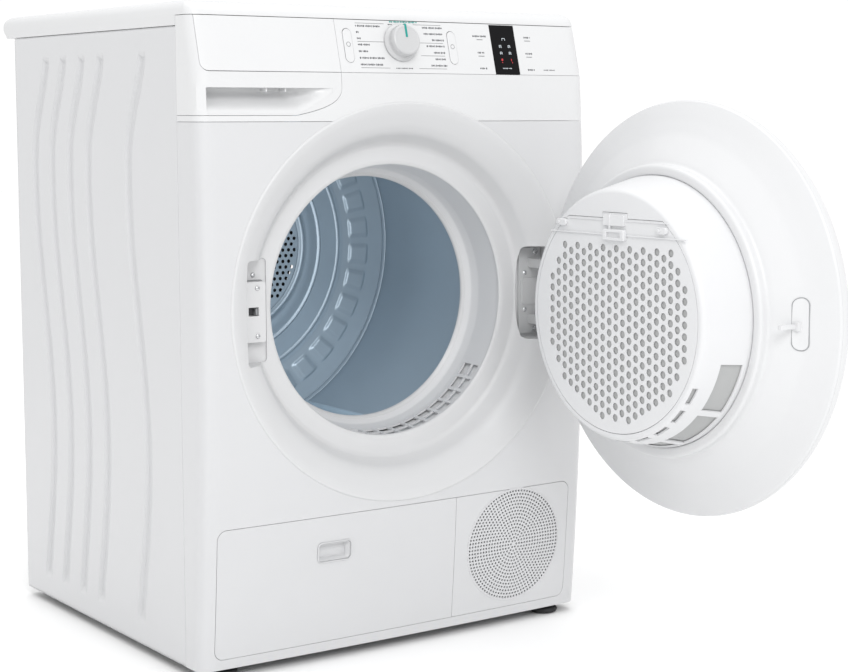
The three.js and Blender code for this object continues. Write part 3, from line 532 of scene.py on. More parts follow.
@dataclass(frozen=True)
class Make:
    """Turns shapes into dressed pieces on one CAD body."""

    frame: Frame
    body: str
    turn: Matrix = Matrix.Identity(4)

    def piece(
        self,
        name: str,
        shape: Shape,
        finish: Finish,
        replaces: Sequence[str] = (),
        thick: float = 0.0,
        edge: float = 0.0,
        angle: float = SMOOTH_ANGLE,
    ) -> bpy.types.Object:
        """Build one visible piece.

        Args:
            name: Piece name.
            shape: Its shape.
            finish: Its finish.
            replaces: CAD nodes it stands for.
            thick: Sheet thickness in millimetres laid behind the shape, or 0.
            edge: Width of the rounded edges in millimetres, or 0.
            angle: Sharpest angle in degrees still shaded smooth.

        Returns:
            The object.
        """
        made = self.raw(name, shape)
        if thick:
            layer = made.modifiers.new("thickness", "SOLIDIFY")
            layer.thickness = thick * MM
            layer.offset = -1.0
            layer.use_even_offset = True
        if edge:
            soften(made, edge, angle)
        shade(made, angle)
        made.data.materials.append(finish.material())
        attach(made, self.body)
        if replaces:
            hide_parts(*replaces)
        log.info("built %s on %s", name, self.body)
        return made

    def screws(self, name: str, spots: Iterable[Spot], facing: Facing = Facing.FRONT) -> None:
        """Build a group of screws as one piece.

        Args:
            name: Piece name.
            spots: x, face depth, z and head radius of each screw.
            facing: Where their heads look.
        """
        heads = Shape()
        for x, d, z, r in spots:
            heads.add(screw(x, d, z, r, facing))
        self.piece(name, heads, SHINY, angle=SOFT_ANGLE)

    def raw(self, name: str, shape: Shape) -> bpy.types.Object:
        """Build a bare mesh object in the frame.

        Args:
            name: Object name.
            shape: Its shape.

        Returns:
            The object.
        """
        mesh = bpy.data.meshes.new(name)
        points = [self.turn @ self.frame.place(*p) for p in shape.points]
        mesh.from_pydata(points, [], shape.faces)
        tidy = bmesh.new()
        tidy.from_mesh(mesh)
        bmesh.ops.remove_doubles(tidy, verts=tidy.verts, dist=MERGE_DISTANCE)
        if all(edge.is_manifold for edge in tidy.edges):
            bmesh.ops.recalc_face_normals(tidy, faces=tidy.faces)
        tidy.to_mesh(mesh)
        tidy.free()
        made = bpy.data.objects.new(name, mesh)
        bpy.context.scene.collection.objects.link(made)
        return made

    def cut(
        self,
        target: bpy.types.Object,
        shape: Shape,
        join: Join = Join.TAKE_AWAY,
    ) -> bpy.types.Object:
        """Apply a boolean and every modifier before it.

        Args:
            target: The object to change.
            shape: The tool's shape.
            join: What the tool's shape does.

        Returns:
            The target.
        """
        tool = self.raw("tool", shape)
        cutter = target.modifiers.new("cut", "BOOLEAN")
        cutter.object = tool
        cutter.operation = join.value
        cutter.solver = "EXACT"
        bake(target)
        bpy.data.objects.remove(tool, do_unlink=True)
        return target


def bake(target: bpy.types.Object) -> None:
    """Apply every modifier of an object.

    Args:
        target: The object.
    """
    graph = bpy.context.evaluated_depsgraph_get()
    mesh = bpy.data.meshes.new_from_object(target.evaluated_get(graph))
    materials = list(target.data.materials)
    target.modifiers.clear()
    target.data = mesh
    mesh.materials.clear()
    for material in materials:
        mesh.materials.append(material)
    mesh.polygons.foreach_set("material_index", [0] * len(mesh.polygons))


def soften(target: bpy.types.Object, width: float, angle: float) -> None:
    """Round an object's edges.

    Args:
        target: The object.
        width: Width in millimetres.
        angle: Smallest angle in degrees that counts as an edge.
    """
    bevel = target.modifiers.new("edges", "BEVEL")
    bevel.width = width * MM
    bevel.segments = 2
    bevel.limit_method = "ANGLE"
    bevel.angle_limit = math.radians(angle)
    bevel.harden_normals = True


def shade(target: bpy.types.Object, angle: float) -> None:
    """Shade an object smooth except at its sharp edges.

    Args:
        target: The object.
        angle: Sharpest angle in degrees still smooth.
    """
    target.data.shade_smooth()
    if not any(m.type == "BEVEL" for m in target.modifiers):
        target.data.set_sharp_from_angle(angle=math.radians(angle))


# ---- the bowed front --------------------------------------------------------------------------


@dataclass(frozen=True)
class Front:
    """The shape of the front: bowed in height and across, round at its corners."""

    half: float = 299.8
    corner: float = 14.0
    side: float = 5.0
    rise: float = 17.3
    middle: float = 483.0
    reach: float = 400.0
    foot: float = 701.0
    crease: float = 763.0
    top: float = 831.0
    height: float = 850.0
    tilt: float = 15.2
    nose: float = 35.0
    wrap: float = 62.0

    @property
    def bend(self) -> float:
        """Length of a corner's arc."""
        return self.corner * math.pi / 2

    @property
    def edge(self) -> float:
        """Flat coordinate of the skins' rear edge."""
        return self.half - self.corner + self.bend + 48.0

    def line(self, z: float) -> float:
        """Depth of the front on the centre line.

        Args:
            z: Height.

        Returns:
            Depth.
        """
        if z <= self.crease:
            return self.rise * ((z - self.middle) / self.reach) ** 2
        start = self.rise * ((self.crease - self.middle) / self.reach) ** 2
        lean = (min(z, self.top) - self.crease) * math.tan(math.radians(self.tilt))
        up = min(1.0, max(0.0, (z - self.top) / (self.height - self.top)))
        return start + lean + self.nose * (1 - math.sqrt(1 - up * up))

    def depth(self, x: float, z: float) -> float:
        """Depth of the front anywhere.

        Args:
            x: To the right.
            z: Height.

        Returns:
            Depth.
        """
        out = min(self.corner, max(0.0, abs(x) - self.half + self.corner))
        turn = self.corner - math.sqrt(self.corner**2 - out**2)
        return self.line(z) - self.side * (1 - min(1.0, (x / self.half) ** 2)) + turn

    def skin(self, proud: float = 0.0) -> Surface:
        """The surface as a map of flat coordinates, bent round the corners.

        Args:
            proud: How far it stands in front of the true surface.

        Returns:
            The map.
        """

        def at(u: float, z: float) -> Point3:
            flat = self.half - self.corner
            sign, out = math.copysign(1.0, u), abs(u) - flat
            if out <= 0:
                return (u, self.depth(u, z) - proud, z)
            t = min(1.0, out / self.bend) * math.pi / 2
            x = flat + self.corner * math.sin(t)
            start = self.depth(x, z)
            past = max(0.0, out - self.bend) / (self.edge - flat - self.bend)
            return (sign * x, start - proud * math.cos(t) + past * (self.wrap - start), z)

        return at


FRONT = Front()
EYE = (0.0, 463.5)
SIDES = 192
HINGE_ARMS = (424.0, 503.0)
TANK_GAP = 0.45


@dataclass(frozen=True)
class Skins:
    """The white front mouldings and their seams."""

    seam: float = 0.22
    eye: float = 261.2
    thick: float = 2.4
    left: float = -98.0
    tank_foot: float = 709.0
    kick: Rect = (-281.0, 275.0, 25.0, 194.0)
    split: float = 79.0
    step: float = 7.0
    support: float = 10.0
    air_rings: int = 16
    air_pitch: float = 4.75

    def tank_edge(self, grow: float) -> Loop:
        """Lower right edge of the water tank's front, from the left to the top.

        Args:
            grow: Distance outside the tank's own edge.

        Returns:
            The open line.
        """
        a, b = (-165.0 + grow, self.tank_foot - grow), (-128.0 + grow, 716.0 - grow)
        c, e = (-98.0 + grow, 724.0 - grow), (self.left + grow, 744.0)
        line = [(-FRONT.edge, self.tank_foot - grow)]
        for k in range(17):
            t = k / 16
            weights = ((1 - t) ** 3, 3 * t * (1 - t) ** 2, 3 * t * t * (1 - t), t**3)
            line.append(tuple(sum(w * p[i] for w, p in zip(weights, (a, b, c, e))) for i in (0, 1)))
        return line

    def eye_arc(self, z: float, below: bool) -> Loop:
        """Arc of the door opening on one side of a height, from right to left.

        Args:
            z: Height of both ends.
            below: Whether the arc runs under the height or over it.

        Returns:
            The open line.
        """
        start = math.degrees(math.asin((z - EYE[1]) / self.eye))
        if below:
            return arc(*EYE, self.eye, start, -180 - start, 150)
        return arc(*EYE, self.eye, start, 180 - start, 24)

    def sheet(
        self,
        make: Make,
        name: str,
        outline: Loop,
        holes: Sequence[Loop],
        node: str,
        finish: Finish = FASCIA_WHITE,
        proud: float = 0.0,
    ) -> bpy.types.Object:
        """One bowed sheet moulding.

        Args:
            make: Where it is built.
            name: Piece name.
            outline: Flat outline.
            holes: Flat holes.
            node: CAD node it stands for, or an empty string.
            finish: Its finish.
            proud: How far it stands out.

        Returns:
            The object.
        """
        fine = divided(outline, self.step)
        cuts = [divided(h, self.step) for h in holes]
        shape = filled(fine, cuts, self.support, FRONT.skin(proud))
        stands_for = [node] if node else []
        return make.piece(name, shape, finish, stands_for, thick=self.thick, edge=0.35, angle=SOFT_ANGLE)

    def build(self, frame: Frame) -> None:
        """Build front panel, lower fascia, kick flap and grille panel.

        Args:
            frame: The shared frame.
        """
        cabinet = Make(frame, "cabinet")
        e, foot = FRONT.edge, FRONT.foot - self.seam
        x0, x1, z0, z1 = self.kick
        bottom = 12.0
        panel = [(-e, bottom), (e, bottom), (e, foot), *self.eye_arc(foot, below=True), (-e, foot)]
        self.sheet(cabinet, "front_sheet", panel, [rounded(x0, x1, z0, z1, 13.0)], "front_panel", ENAMEL)
        top = FRONT.crease - self.seam
        low, gap = FRONT.foot + self.seam, TANK_GAP
        arch = list(reversed(self.eye_arc(low, below=False)))
        lower = [(-e, low), *arch, (e, low), (e, top), (self.left + gap, top)]
        lower += list(reversed(self.tank_edge(gap)))
        self.sheet(cabinet, "lower_band", lower, [], "lower_fascia")
        self.kick_plate(frame)
        self.grille(frame)

    def kick_plate(self, frame: Frame) -> None:
        """The flap over the condenser, with its finger cup.

        Args:
            frame: The shared frame.
        """
        make = Make(frame, "kick_flap")
        x0, _, z0, z1 = self.kick
        right = self.split - self.seam
        corner = rounded(x0 + 0.5, right + 60, z0 + 0.5, z1 - 0.5, 12.5)
        outline = list(dict.fromkeys((min(x, right), z) for x, z in corner))
        cup = rounded(-136.0, -88.0, 134.0, 158.0, 5.0)
        self.sheet(make, "kick_sheet", outline, [cup], "kick_flap", ENAMEL)
        inner = rounded(-133.5, -90.5, 136.5, 155.5, 4.0)
        wall = ring_between(cup, inner, lambda x, z: FRONT.depth(x, z) + 0.4, lambda x, z: 17.0)
        floor = filled(inner, [], 0.0, lambda x, z: (x, 17.0, z))
        make.piece("kick_cup", wall.add(floor), ENAMEL, thick=1.6, angle=50.0)
        lip = ring_between(
            rounded(-137.6, -86.4, 132.4, 159.6, 6.2),
            rounded(-136.2, -87.8, 133.8, 158.2, 5.2),
            lambda x, z: FRONT.depth(x, z) - 0.5,
        )
        make.piece("kick_cup_rim", lip, ENAMEL, thick=1.2, edge=0.25)

    def grille(self, frame: Frame) -> None:
        """The round air grille at the lower right.

        Args:
            frame: The shared frame.
        """
        make = Make(frame, "cabinet")
        _, x1, z0, z1 = self.kick
        left = self.split + self.seam
        corner = rounded(left - 60, x1 - 0.5, z0 + 0.5, z1 - 0.5, 12.5)
        outline = list(dict.fromkeys((max(x, left), z) for x, z in corner))
        x, _, z = frame.joint("motor_spin")
        holes = []
        for ring in range(1, self.air_rings + 1):
            holes += [circle(*p, 1.55, 8) for p in circle(x, z, self.air_pitch * ring, 6 * ring)]
        self.sheet(make, "grille_sheet", outline, holes, "grille_panel", ENAMEL)
        rim = [(r, -0.35 + 0.25 * math.cos((r - 79) * 1.5)) for r in (77.6, 78.2, 79.0, 79.8, 80.4)]
        sides = 96

        def at(i: int, j: int) -> Point3:
            return self.on_front(x, z, rim[j][0], TAU * i / sides, rim[j][1])

        hoop = grid(sides, len(rim), at, True)
        make.piece("grille_rim", hoop, ENAMEL, thick=0.8)
        back = lathe([(0.0, 32.0), (84.0, 32.0), (84.0, 30.5), (0.0, 30.5)], (x, z), 48)
        make.piece("grille_baffle", back, GREY_PLASTIC, edge=0.4)

    @staticmethod
    def on_front(x: float, z: float, r: float, a: float, lift: float) -> Point3:
        """Point of a ring that lies on the front."""
        px, pz = x + r * math.cos(a), z + r * math.sin(a)
        return (px, FRONT.depth(px, pz) + lift, pz)


def ring_between(
    outer: Loop,
    inner: Loop,
    outer_depth: Callable[[float, float], float],
    inner_depth: Callable[[float, float], float] | None = None,
) -> Shape:
    """Quads between two loops of the same length.

    Args:
        outer: First loop.
        inner: Second loop.
        outer_depth: Depth of a point of the first loop.
        inner_depth: Depth of a point of the second loop, or None when it lies like the first.

    Returns:
        The band.
    """
    pairs = list(zip(outer, inner))

    def at(i: int, j: int) -> Point3:
        x, z = pairs[i][j]
        return (x, (outer_depth, inner_depth or outer_depth)[j](x, z), z)

    return grid(len(pairs), 2, at, wrap=True)


@dataclass(frozen=True)
class Tank:
    """Front of the water tank's drawer, with its upper plate and finger scoop."""

    plate_left: float = -293.0
    scoop: Rect = (-288.0, -111.0, 711.5, 743.0)
    depth: float = 27.0

    def scoop_foot(self, u: float) -> float:
        """Lower edge of the scoop."""
        return self.scoop[2] + 26.0 * max(0.0, (u + 160.0) / 49.0) ** 1.1

    def build(self, frame: Frame, skins: Skins) -> None:
        """Build the drawer front and dress the tank behind it.

        Args:
            frame: The shared frame.
            skins: The front's seams.
        """
        make = Make(frame, "water_tank")
        top, low = FRONT.top - skins.seam, FRONT.crease
        left, right = self.plate_left, skins.left
        line = skins.tank_edge(0.0)
        inner = arc(left + 10.0, low + 10.0, 10.6, 270, 180, 6)
        body = [*line, (right, low - 0.3), *inner, (left - 0.6, top), (-FRONT.edge, top)]
        u0, u1, z0, z1 = self.scoop
        rim = [(u0, z1), (u0, z0)] + [(u, self.scoop_foot(u)) for u in range(-280, -110, 6)] + [(u1, z1)]
        skins.sheet(make, "tank_face", body, [filleted(rim, 2.0)], "tank_front")
        corner = arc(left + 10.0, low + 10.4, 10.0, 180, 270, 6)
        plate = [(right, low + 0.4), (right, top), (left, top), *corner]
        skins.sheet(make, "tank_plate", plate, [], "", proud=0.25)
        make.piece("tank_scoop", self.hollow(), FASCIA_WHITE, angle=50.0)
        tabs = Shape()
        for x in (-205.0, -178.0):
            tabs.add(block((x, x + 2.2), (8.0, 24.0), (z1 - 5.0, z1 + 1.0)))
        make.piece("tank_tabs", tabs, FASCIA_WHITE, edge=0.5)

    def hollow(self) -> Shape:
        """The sloping floor, end walls and ceiling of the scoop.

        Returns:
            The open shape.
        """
        u0, u1, _, z1 = self.scoop
        columns, rows = 60, 22

        def at(i: int, j: int) -> Point3:
            u = u0 + (u1 - u0) * max(0, i - 1) / (columns - 2)
            low = self.scoop_foot(u)
            t = min(1.0, j / (rows - 2))
            z = low + (z1 - low) * t
            deep = self.depth * smooth(t * 1.15) * smooth((u1 - u) / 70.0)
            if j == rows - 1 or i == 0:
                deep = 0.0
            x, d, _ = FRONT.skin()(u, z)
            return (x, d + 0.3 + deep, z)

        return grid(columns, rows, at)


# ---- cabinet ----------------------------------------------------------------------------------


@dataclass(frozen=True)
class Cabinet:
    """Side walls with pressed waves, worktop, rear wall and feet."""

    back: float = 574.0
    under: float = 819.0
    skirt: float = 12.0
    overhang: float = 620.0
    waves: tuple[float, ...] = (198.0, 323.0, 383.0, 444.0, 503.0)
    wave_width: float = 11.0
    wave_wall: float = 3.6
    wave_deep: float = 4.6
    wall_front: float = 62.4
    louvres: int = 9
    louvre_pitch: float = 34.0
    inlet: Point2 = (240.0, 130.0)
    flange: float = 579.4
    duct_slots: int = 12

    def wave(self, z: float) -> float:
        """Sideways sway of the pressed waves."""
        return -16.0 + 22.0 * math.cos(TAU * (z - 620.0) / 700.0) - 26.0 * smooth((z - 660.0) / 125.0)

    def groove(self, d: float, z: float) -> float:
        """How far the wall is pressed in.

        Args:
            d: Depth.
            z: Height.

        Returns:
            Millimetres inwards.
        """
        ends = smooth((z - 46.0) / 4.0) * smooth((787.0 - z) / 4.0)
        near = min(abs(d - start - self.wave(z)) for start in self.waves)
        return self.wave_deep * ends * smooth((self.wave_width - near) / self.wave_wall)

    def build(self, frame: Frame) -> None:
        """Build the cabinet's shell.

        Args:
            frame: The shared frame.
        """
        make = Make(frame, "cabinet")
        self.sides(make)
        self.worktop(make)
        self.rear(make, frame)
        self.feet(frame)

    def sides(self, make: Make) -> None:
        """Build both side walls.

        Args:
            make: Where they are built.
        """
        columns, rows = 400, 180
        start, low, high = self.wall_front, self.skirt, self.under - 0.6
        for name, sign in (("left", -1.0), ("right", 1.0)):

            def at(i: int, j: int, sign: float = sign) -> Point3:
                d = start + (self.back - start) * i / (columns - 1)
                z = low + (high - low) * j / (rows - 1)
                rim = 0.6 if i in (0, columns - 1) or j in (0, rows - 1) else 0.0
                return (sign * (FRONT.half - rim - self.groove(d, z)), d, z)

            wall = grid(columns, rows, at)
            if sign > 0:
                wall.faces = [tuple(reversed(f)) for f in wall.faces]
            make.piece(f"{name}_wall", wall, ENAMEL, [f"{name}_side_panel"], thick=1.2, angle=60.0)
            inner, outer = sorted((sign * 287.0, sign * 299.2))
            lips = block((inner, outer), (start + 0.2, start + 1.6), (low, high))
            lips.add(block((inner, outer), (self.back - 1.6, self.back - 0.2), (low, high)))
            make.piece(f"{name}_wall_returns", lips, ENAMEL, edge=0.4)

    def tail(self, z: float) -> float:
        """Rear edge of the worktop.

        Args:
            z: Height.

        Returns:
            Depth.
        """
        low = 12.0 * (1 - smooth((z - self.under) / 12.0))
        high = 20.0 * (1 - math.sqrt(max(0.0, 1 - max(0.0, (z - 834.0) / 16.0) ** 2)))
        return self.overhang - low - high

    def worktop(self, make: Make) -> None:
        """Build the worktop with its rolled nose.

        Args:
            make: Where it is built.
        """
        r, height = 13.0, FRONT.height

        def loop(z: float, front: Callable[[float], float]) -> list[Point3]:
            up = max(0.0, z - height + r) / r
            inset = r * (1 - math.sqrt(max(0.0, 1 - up * up)))
            half = FRONT.half - inset
            xs = [half * math.sin(math.pi / 2 * (k / 24)) for k in range(-24, 25)]
            far = self.tail(z)
            line = [(x, front(x), z) for x in xs]
            corner = 6.0
            rear = [(half - corner + corner * math.cos(a), far - corner + corner * math.sin(a), z)
                    for a in (math.pi / 2 * k / 6 for k in range(7))]
            return [*line, *rear, *[(-x, d, z) for x, d, _ in reversed(rear)]]

        nose = [831.5 + (height - 831.5) * math.sin(math.pi / 2 * k / 14) for k in range(15)]
        cap = stacked([loop(z, lambda x, z=z: FRONT.depth(x, z)) for z in nose])
        board = make.piece("worktop_board", cap, LAMINATE, ["worktop"], angle=SOFT_ANGLE)
        skirt = stacked([loop(z, lambda x: 62.6) for z in (self.under, 822.0, 825.0, 828.0, 831.5)])
        make.cut(board, skirt, Join.ADD)
        shade(board, SOFT_ANGLE)

    def rear(self, make: Make, frame: Frame) -> None:
        """Build the rear wall with its air duct cover and mains inlet.

        Args:
            make: Where it is built.
            frame: The shared frame.
        """
        x, _, z = frame.joint("drum_spin")
        low, high = self.skirt, self.under - 0.5
        starts = [-200.0 + self.louvre_pitch * k for k in range(self.louvres)]
        holes = [circle(x, z, 226.0, 96), circle(*self.inlet, 14.6, 32)]
        holes += [rounded(left, left + 18.0, 60.0, 150.0, 4.0) for left in starts]
        outline = rounded(-299.4, 299.4, low, high, 4.0)
        face = filled(divided(outline, 20.0), holes, 0.0, lambda u, v: (u, 574.6, v))
        make.piece("rear_sheet", face, ZINC, ["rear_panel"], thick=-1.2, edge=0.3)
        slats = Shape()
        for left in starts:
            slats.add(block((left + 1.0, left + 17.0), (569.0, 573.6), (62.0, 148.0)))
        make.piece("rear_louvres", slats, ZINC, edge=1.5)
        flange = self.flange
        dome = [(0.0, 614.4), (150.0, 614.4), (205.0, 606.4), (225.0, flange), (246.0, flange),
                (246.0, 576.4), (222.0, 576.4), (202.0, 603.8), (148.0, 611.8), (0.0, 611.8)]
        cover = make.piece("duct_dome", lathe(filleted(dome, 6.0), (x, z), 144), ZINC, ["rear_duct_cover"])
        slots = Shape()
        for k in range(self.duct_slots):
            a = math.degrees(TAU * k / self.duct_slots) + 6.0
            outer = arc(x, z, 186.0, a, a + 14, 6)
            slots.add(prism(outer + arc(x, z, 166.0, a + 14, a, 6), 560.0, 640.0))
        make.cut(cover, slots)
        shade(cover, SMOOTH_ANGLE)
        turns = [TAU * (k + 0.5) / 8 for k in range(8)]
        spots = [(x + 236 * math.cos(a), self.flange, z + 236 * math.sin(a), 4.5) for a in turns]
        corners = [(u, v) for v in (30, 300, 800) for u in (-285, 285)]
        spots += [(u, 575.9, v, 4.5) for u, v in [*corners, (0, 800), (0, 26)]]
        make.screws("rear_screws", spots, Facing.BACK)
        socket = [(0.0, 590.0), (9.0, 590.0), (9.0, 584.0), (12.4, 584.0), (12.4, 591.8), (14.0, 591.8),
                  (14.0, 582.0), (19.0, 581.0), (19.0, 576.4), (14.0, 576.4), (14.0, 571.0), (0.0, 571.0)]
        make.piece("inlet_socket", lathe(socket, self.inlet, 48), BLACK_PLASTIC_AND_SHADE, ["mains_inlet"], edge=0.4)

    def feet(self, frame: Frame) -> None:
        """Build the four screw feet.

        Args:
            frame: The shared frame.
        """
        pad = filleted([(0.0, 0.0), (17.0, 0.0), (19.0, 2.0), (19.0, 6.0), (16.0, 8.0), (0.0, 8.0)], 1.2)
        thread = [(0.0, 7.0)] + [(5.0 - 0.45 * (k % 2), 12.0 + k * 0.75) for k in range(28)] + [(0.0, 33.0)]
        for k in range(1, 5):
            make = Make(frame, f"foot_{k}")
            x, d = frame.plan(f"foot_{k}")
            make.piece(f"foot_pad_{k}", turned_up(pad, x, d, 48), RUBBER, [f"foot_{k}"])
            make.piece(f"foot_thread_{k}", turned_up(thread, x, d, 24), SHINY)
            nut = turned_up([(0.0, 8.0), (11.0, 8.0), (11.0, 12.2), (0.0, 12.2)], x, d, 6)
            make.piece(f"foot_nut_{k}", nut, ZINC, edge=0.6)


def stacked(loops: Sequence[Sequence[Point3]]) -> Shape:
    """Join loops of the same length, one above the other, and close both ends.

    Args:
        loops: The loops.

    Returns:
        The closed solid.
    """
    count = len(loops[0])
    points = [p for loop in loops for p in loop]
    faces: list[tuple[int, ...]] = [tuple(reversed(range(count)))]
    faces.append(tuple(range((len(loops) - 1) * count, len(loops) * count)))
    for k in range(len(loops) - 1):
        a, b = k * count, (k + 1) * count
        faces += [(a + i, a + (i + 1) % count, b + (i + 1) % count, b + i) for i in range(count)]
    return Shape(points, faces)


# ---- controls ---------------------------------------------------------------------------------


@dataclass(frozen=True)
class Controls:
    """The control fascia with knob, keys, display and printed marks."""

    key: tuple[float, float, float] = (797.5, 12.6, 43.0)
    keys: tuple[float, float] = (-81.5, 80.0)
    screen: Rect = (146.0, 187.0, 764.5, 829.5)
    knob_radius: float = 20.0
    knob_tall: float = 18.0
    knob_ribs: int = 48
    symbol: float = 799.0

    def build(self, frame: Frame, skins: Skins) -> None:
        """Build the fascia and everything on it.

        Args:
            frame: The shared frame.
            skins: The front's seams.
        """
        make = Make(frame, "cabinet")
        knob = frame.joint("program_knob_turn")
        low, high = FRONT.crease + skins.seam, FRONT.top - skins.seam
        holes = [self.pill(x, 0.45) for x in self.keys]
        x0, x1, z0, z1 = self.screen
        e = FRONT.edge
        left, gap = skins.left + TANK_GAP, 0.3
        outline = [(left, low), (x0 - gap, low), (x0 - gap, z1 + gap), (x1 + gap, z1 + gap),
                   (x1 + gap, low), (e, low), (e, high), (left, high)]
        holes.append(circle(knob[0], knob[2], 9.0, 32))
        skins.sheet(make, "control_face", outline, holes, "control_fascia")
        pane = filled(divided(rounded(x0, x1, z0 - 0.8, z1, 0.8, 3), 6.0), [], 8.0, FRONT.skin(-0.2))
        make.piece("display_pane", pane, BLACK_GLASS, ["display_window"], thick=1.2, edge=0.25)
        for name, x in zip(("power", "start"), self.keys):
            cap = filled(divided(self.pill(x, 0.0), 5.0), [], 5.0, FRONT.skin(0.9))
            body = Make(frame, f"{name}_button")
            node = f"{name}_button"
            body.piece(f"{name}_key", cap, FASCIA_WHITE, [node], thick=3.0, edge=0.7, angle=SOFT_ANGLE)
        self.knob(frame, knob)
        self.marks(make, knob)
        self.display_marks(make)

    def pill(self, x: float, grow: float) -> Loop:
        """Outline of a key.

        Args:
            x: Its middle.
            grow: Distance outside.

        Returns:
            The closed loop.
        """
        z, wide, tall = self.key
        w, h = wide / 2 + grow, tall / 2 + grow
        return rounded(x - w, x + w, z - h, z + h, w - 0.01, 8)

    def knob(self, frame: Frame, place: Point3) -> None:
        """Build the programme knob with its skirt and pointer.

        Args:
            frame: The shared frame.
            place: Where its joint is.
        """
        x, d, z = place
        tilt = math.radians(FRONT.tilt)
        seat = FRONT.depth(x, z)

        def lean(p: Point3) -> Point3:
            out, up = p[1], p[2]
            return (
                x + p[0],
                seat + out * math.cos(tilt) + up * math.sin(tilt),
                z - out * math.sin(tilt) + up * math.cos(tilt),
            )

        r, tall = self.knob_radius, self.knob_tall
        profile = [(r - 4.0, -tall + 0.5), (r - 2.2, -tall), (r, -tall + 1.2), (r + 1.3, -6.0),
                   (r + 5.0, -2.6), (r + 5.0, -0.8), (3.0, -0.8), (3.0, 20.5)]
        make = Make(frame, "program_knob")
        body = lathe(filleted(profile, 0.9), (0.0, 0.0), 96)
        face = [(0.0, -tall + 0.5), (r - 3.5, -tall + 0.5), (r - 3.5, -tall + 2), (0.0, -tall + 2)]
        body.add(lathe(face, (0.0, 0.0), 96))
        make.piece("knob_body", body.moved(lean), KNOB_WHITE, ["program_knob"])
        bar = block((-1.5, 1.5), (-tall - 0.15, -tall + 1.0), (3.0, r + 0.1))
        bar.add(block((-1.5, 1.5), (-tall + 0.2, -10.0), (r - 1.0, r + 1.0)))
        make.piece("knob_pointer", bar.moved(lean), TEAL, edge=0.3)
        teeth = Shape()
        for k in range(self.knob_ribs):
            a = TAU * k / self.knob_ribs
            px, pz = (r + 0.9) * math.cos(a), (r + 0.9) * math.sin(a)
            teeth.add(lathe([(0.0, -12.0), (0.45, -11.6), (0.55, -6.4), (0.0, -6.0)], (px, pz), 6))
        make.piece("knob_ribs", teeth.moved(lean), KNOB_WHITE)

    def print_on(self, make: Make, name: str, bars: Iterable[Bar], finish: Finish, proud: float) -> None:
        """Print flat bars on the front.

        Args:
            make: Where they are built.
            name: Piece name.
            bars: x, z, width and height of each bar's middle.
            finish: The ink.
            proud: How far they stand out.
        """
        ink = Shape()
        for x, z, wide, tall in bars:
            w, h = wide / 2, tall / 2
            loop = rounded(x - w, x + w, z - h, z + h, 0.45 * min(wide, tall), 2)
            ink.add(filled(loop, [], 0.0, FRONT.skin(proud)))
        make.piece(name, ink, finish, thick=0.12)

    @staticmethod
    def word(x: float, z: float, long: float, tall: float, seed: int) -> list[Bar]:
        """A row of small bars that stands for a printed label.

        Args:
            x: Left end.
            z: Middle height.
            long: Length of the row.
            tall: Height of the bars.
            seed: Varies the bars from row to row.

        Returns:
            The bars.
        """
        bars, at, k = [], x, seed
        while at < x + long:
            wide = (1.5, 2.1, 1.1, 1.8)[k % 4]
            bars.append((at + wide / 2, z, wide, tall * (1.0 if k % 3 else 0.75)))
            at += wide + (0.55 if k % 5 else 1.5)
            k += 1
        return bars

    def marks(self, make: Make, knob: Point3) -> None:
        """Print the generic programme marks, rulings and key symbols.

        Args:
            make: Where they are built.
            knob: Where the knob stands.
        """
        ink, lines = [], []
        rows = [823.0, 815.0, 807.0, 799.0, 790.5, 782.0, 773.5]
        left = [36.0, 4.0, 5.0, 19.0, 12.0, 36.0, 33.0]
        right = [30.0, 29.0, 17.0, 27.0, 17.0, 16.0, 24.0]
        for k, (z, a, b) in enumerate(zip(rows, left, right)):
            ink += self.word(-67.0, z, a, 2.7, k)
            ink += self.word(66.0 - b, z, b, 2.7, k + 2)
        for z in (826.6, 803.0, 769.4):
            lines += [(-45.0, z, 44.0, 0.5), (44.0, z, 44.0, 0.5)]
        lines += [(47.0, 786.3, 38.0, 0.5)]
        ink += self.word(-17.0, 826.0, 5.0, 1.6, 1) + self.word(-14.0, 769.3, 26.0, 1.7, 3)
        for x, z in ((127, 814), (126, 792), (126, 771), (208, 814), (207, 792), (207, 770)):
            wide = 22.0 if x < 150 and z > 800 else 11.0
            ink += self.word(x - wide / 2, z, wide, 2.7, x + z)
            if z > 780:
                lines.append((float(x), z - 4.6, 10.0, 0.8))
        ink += self.word(229.0, 770.0, 20.0, 1.8, 2)
        self.print_on(make, "printed_marks", ink, INK, 0.08)
        self.print_on(make, "printed_rulings", lines, INK, 0.08)
        green = self.word(knob[0] - 12.0, 829.6, 42.0, 2.4, 4)
        self.print_on(make, "start_mark", green, TEAL, 0.09)
        for name, x in zip(("power", "start"), self.keys):
            body = Make(make.frame, f"{name}_button")
            sign = lathe([(2.6, 0.0), (3.1, 0.0), (3.1, 0.3), (2.6, 0.3)], (x, self.symbol), 24)
            sign = sign.moved(lambda p: (p[0], FRONT.depth(p[0], p[2]) - 1.02 + p[1], p[2]))
            body.piece(f"{name}_symbol", sign, INK)

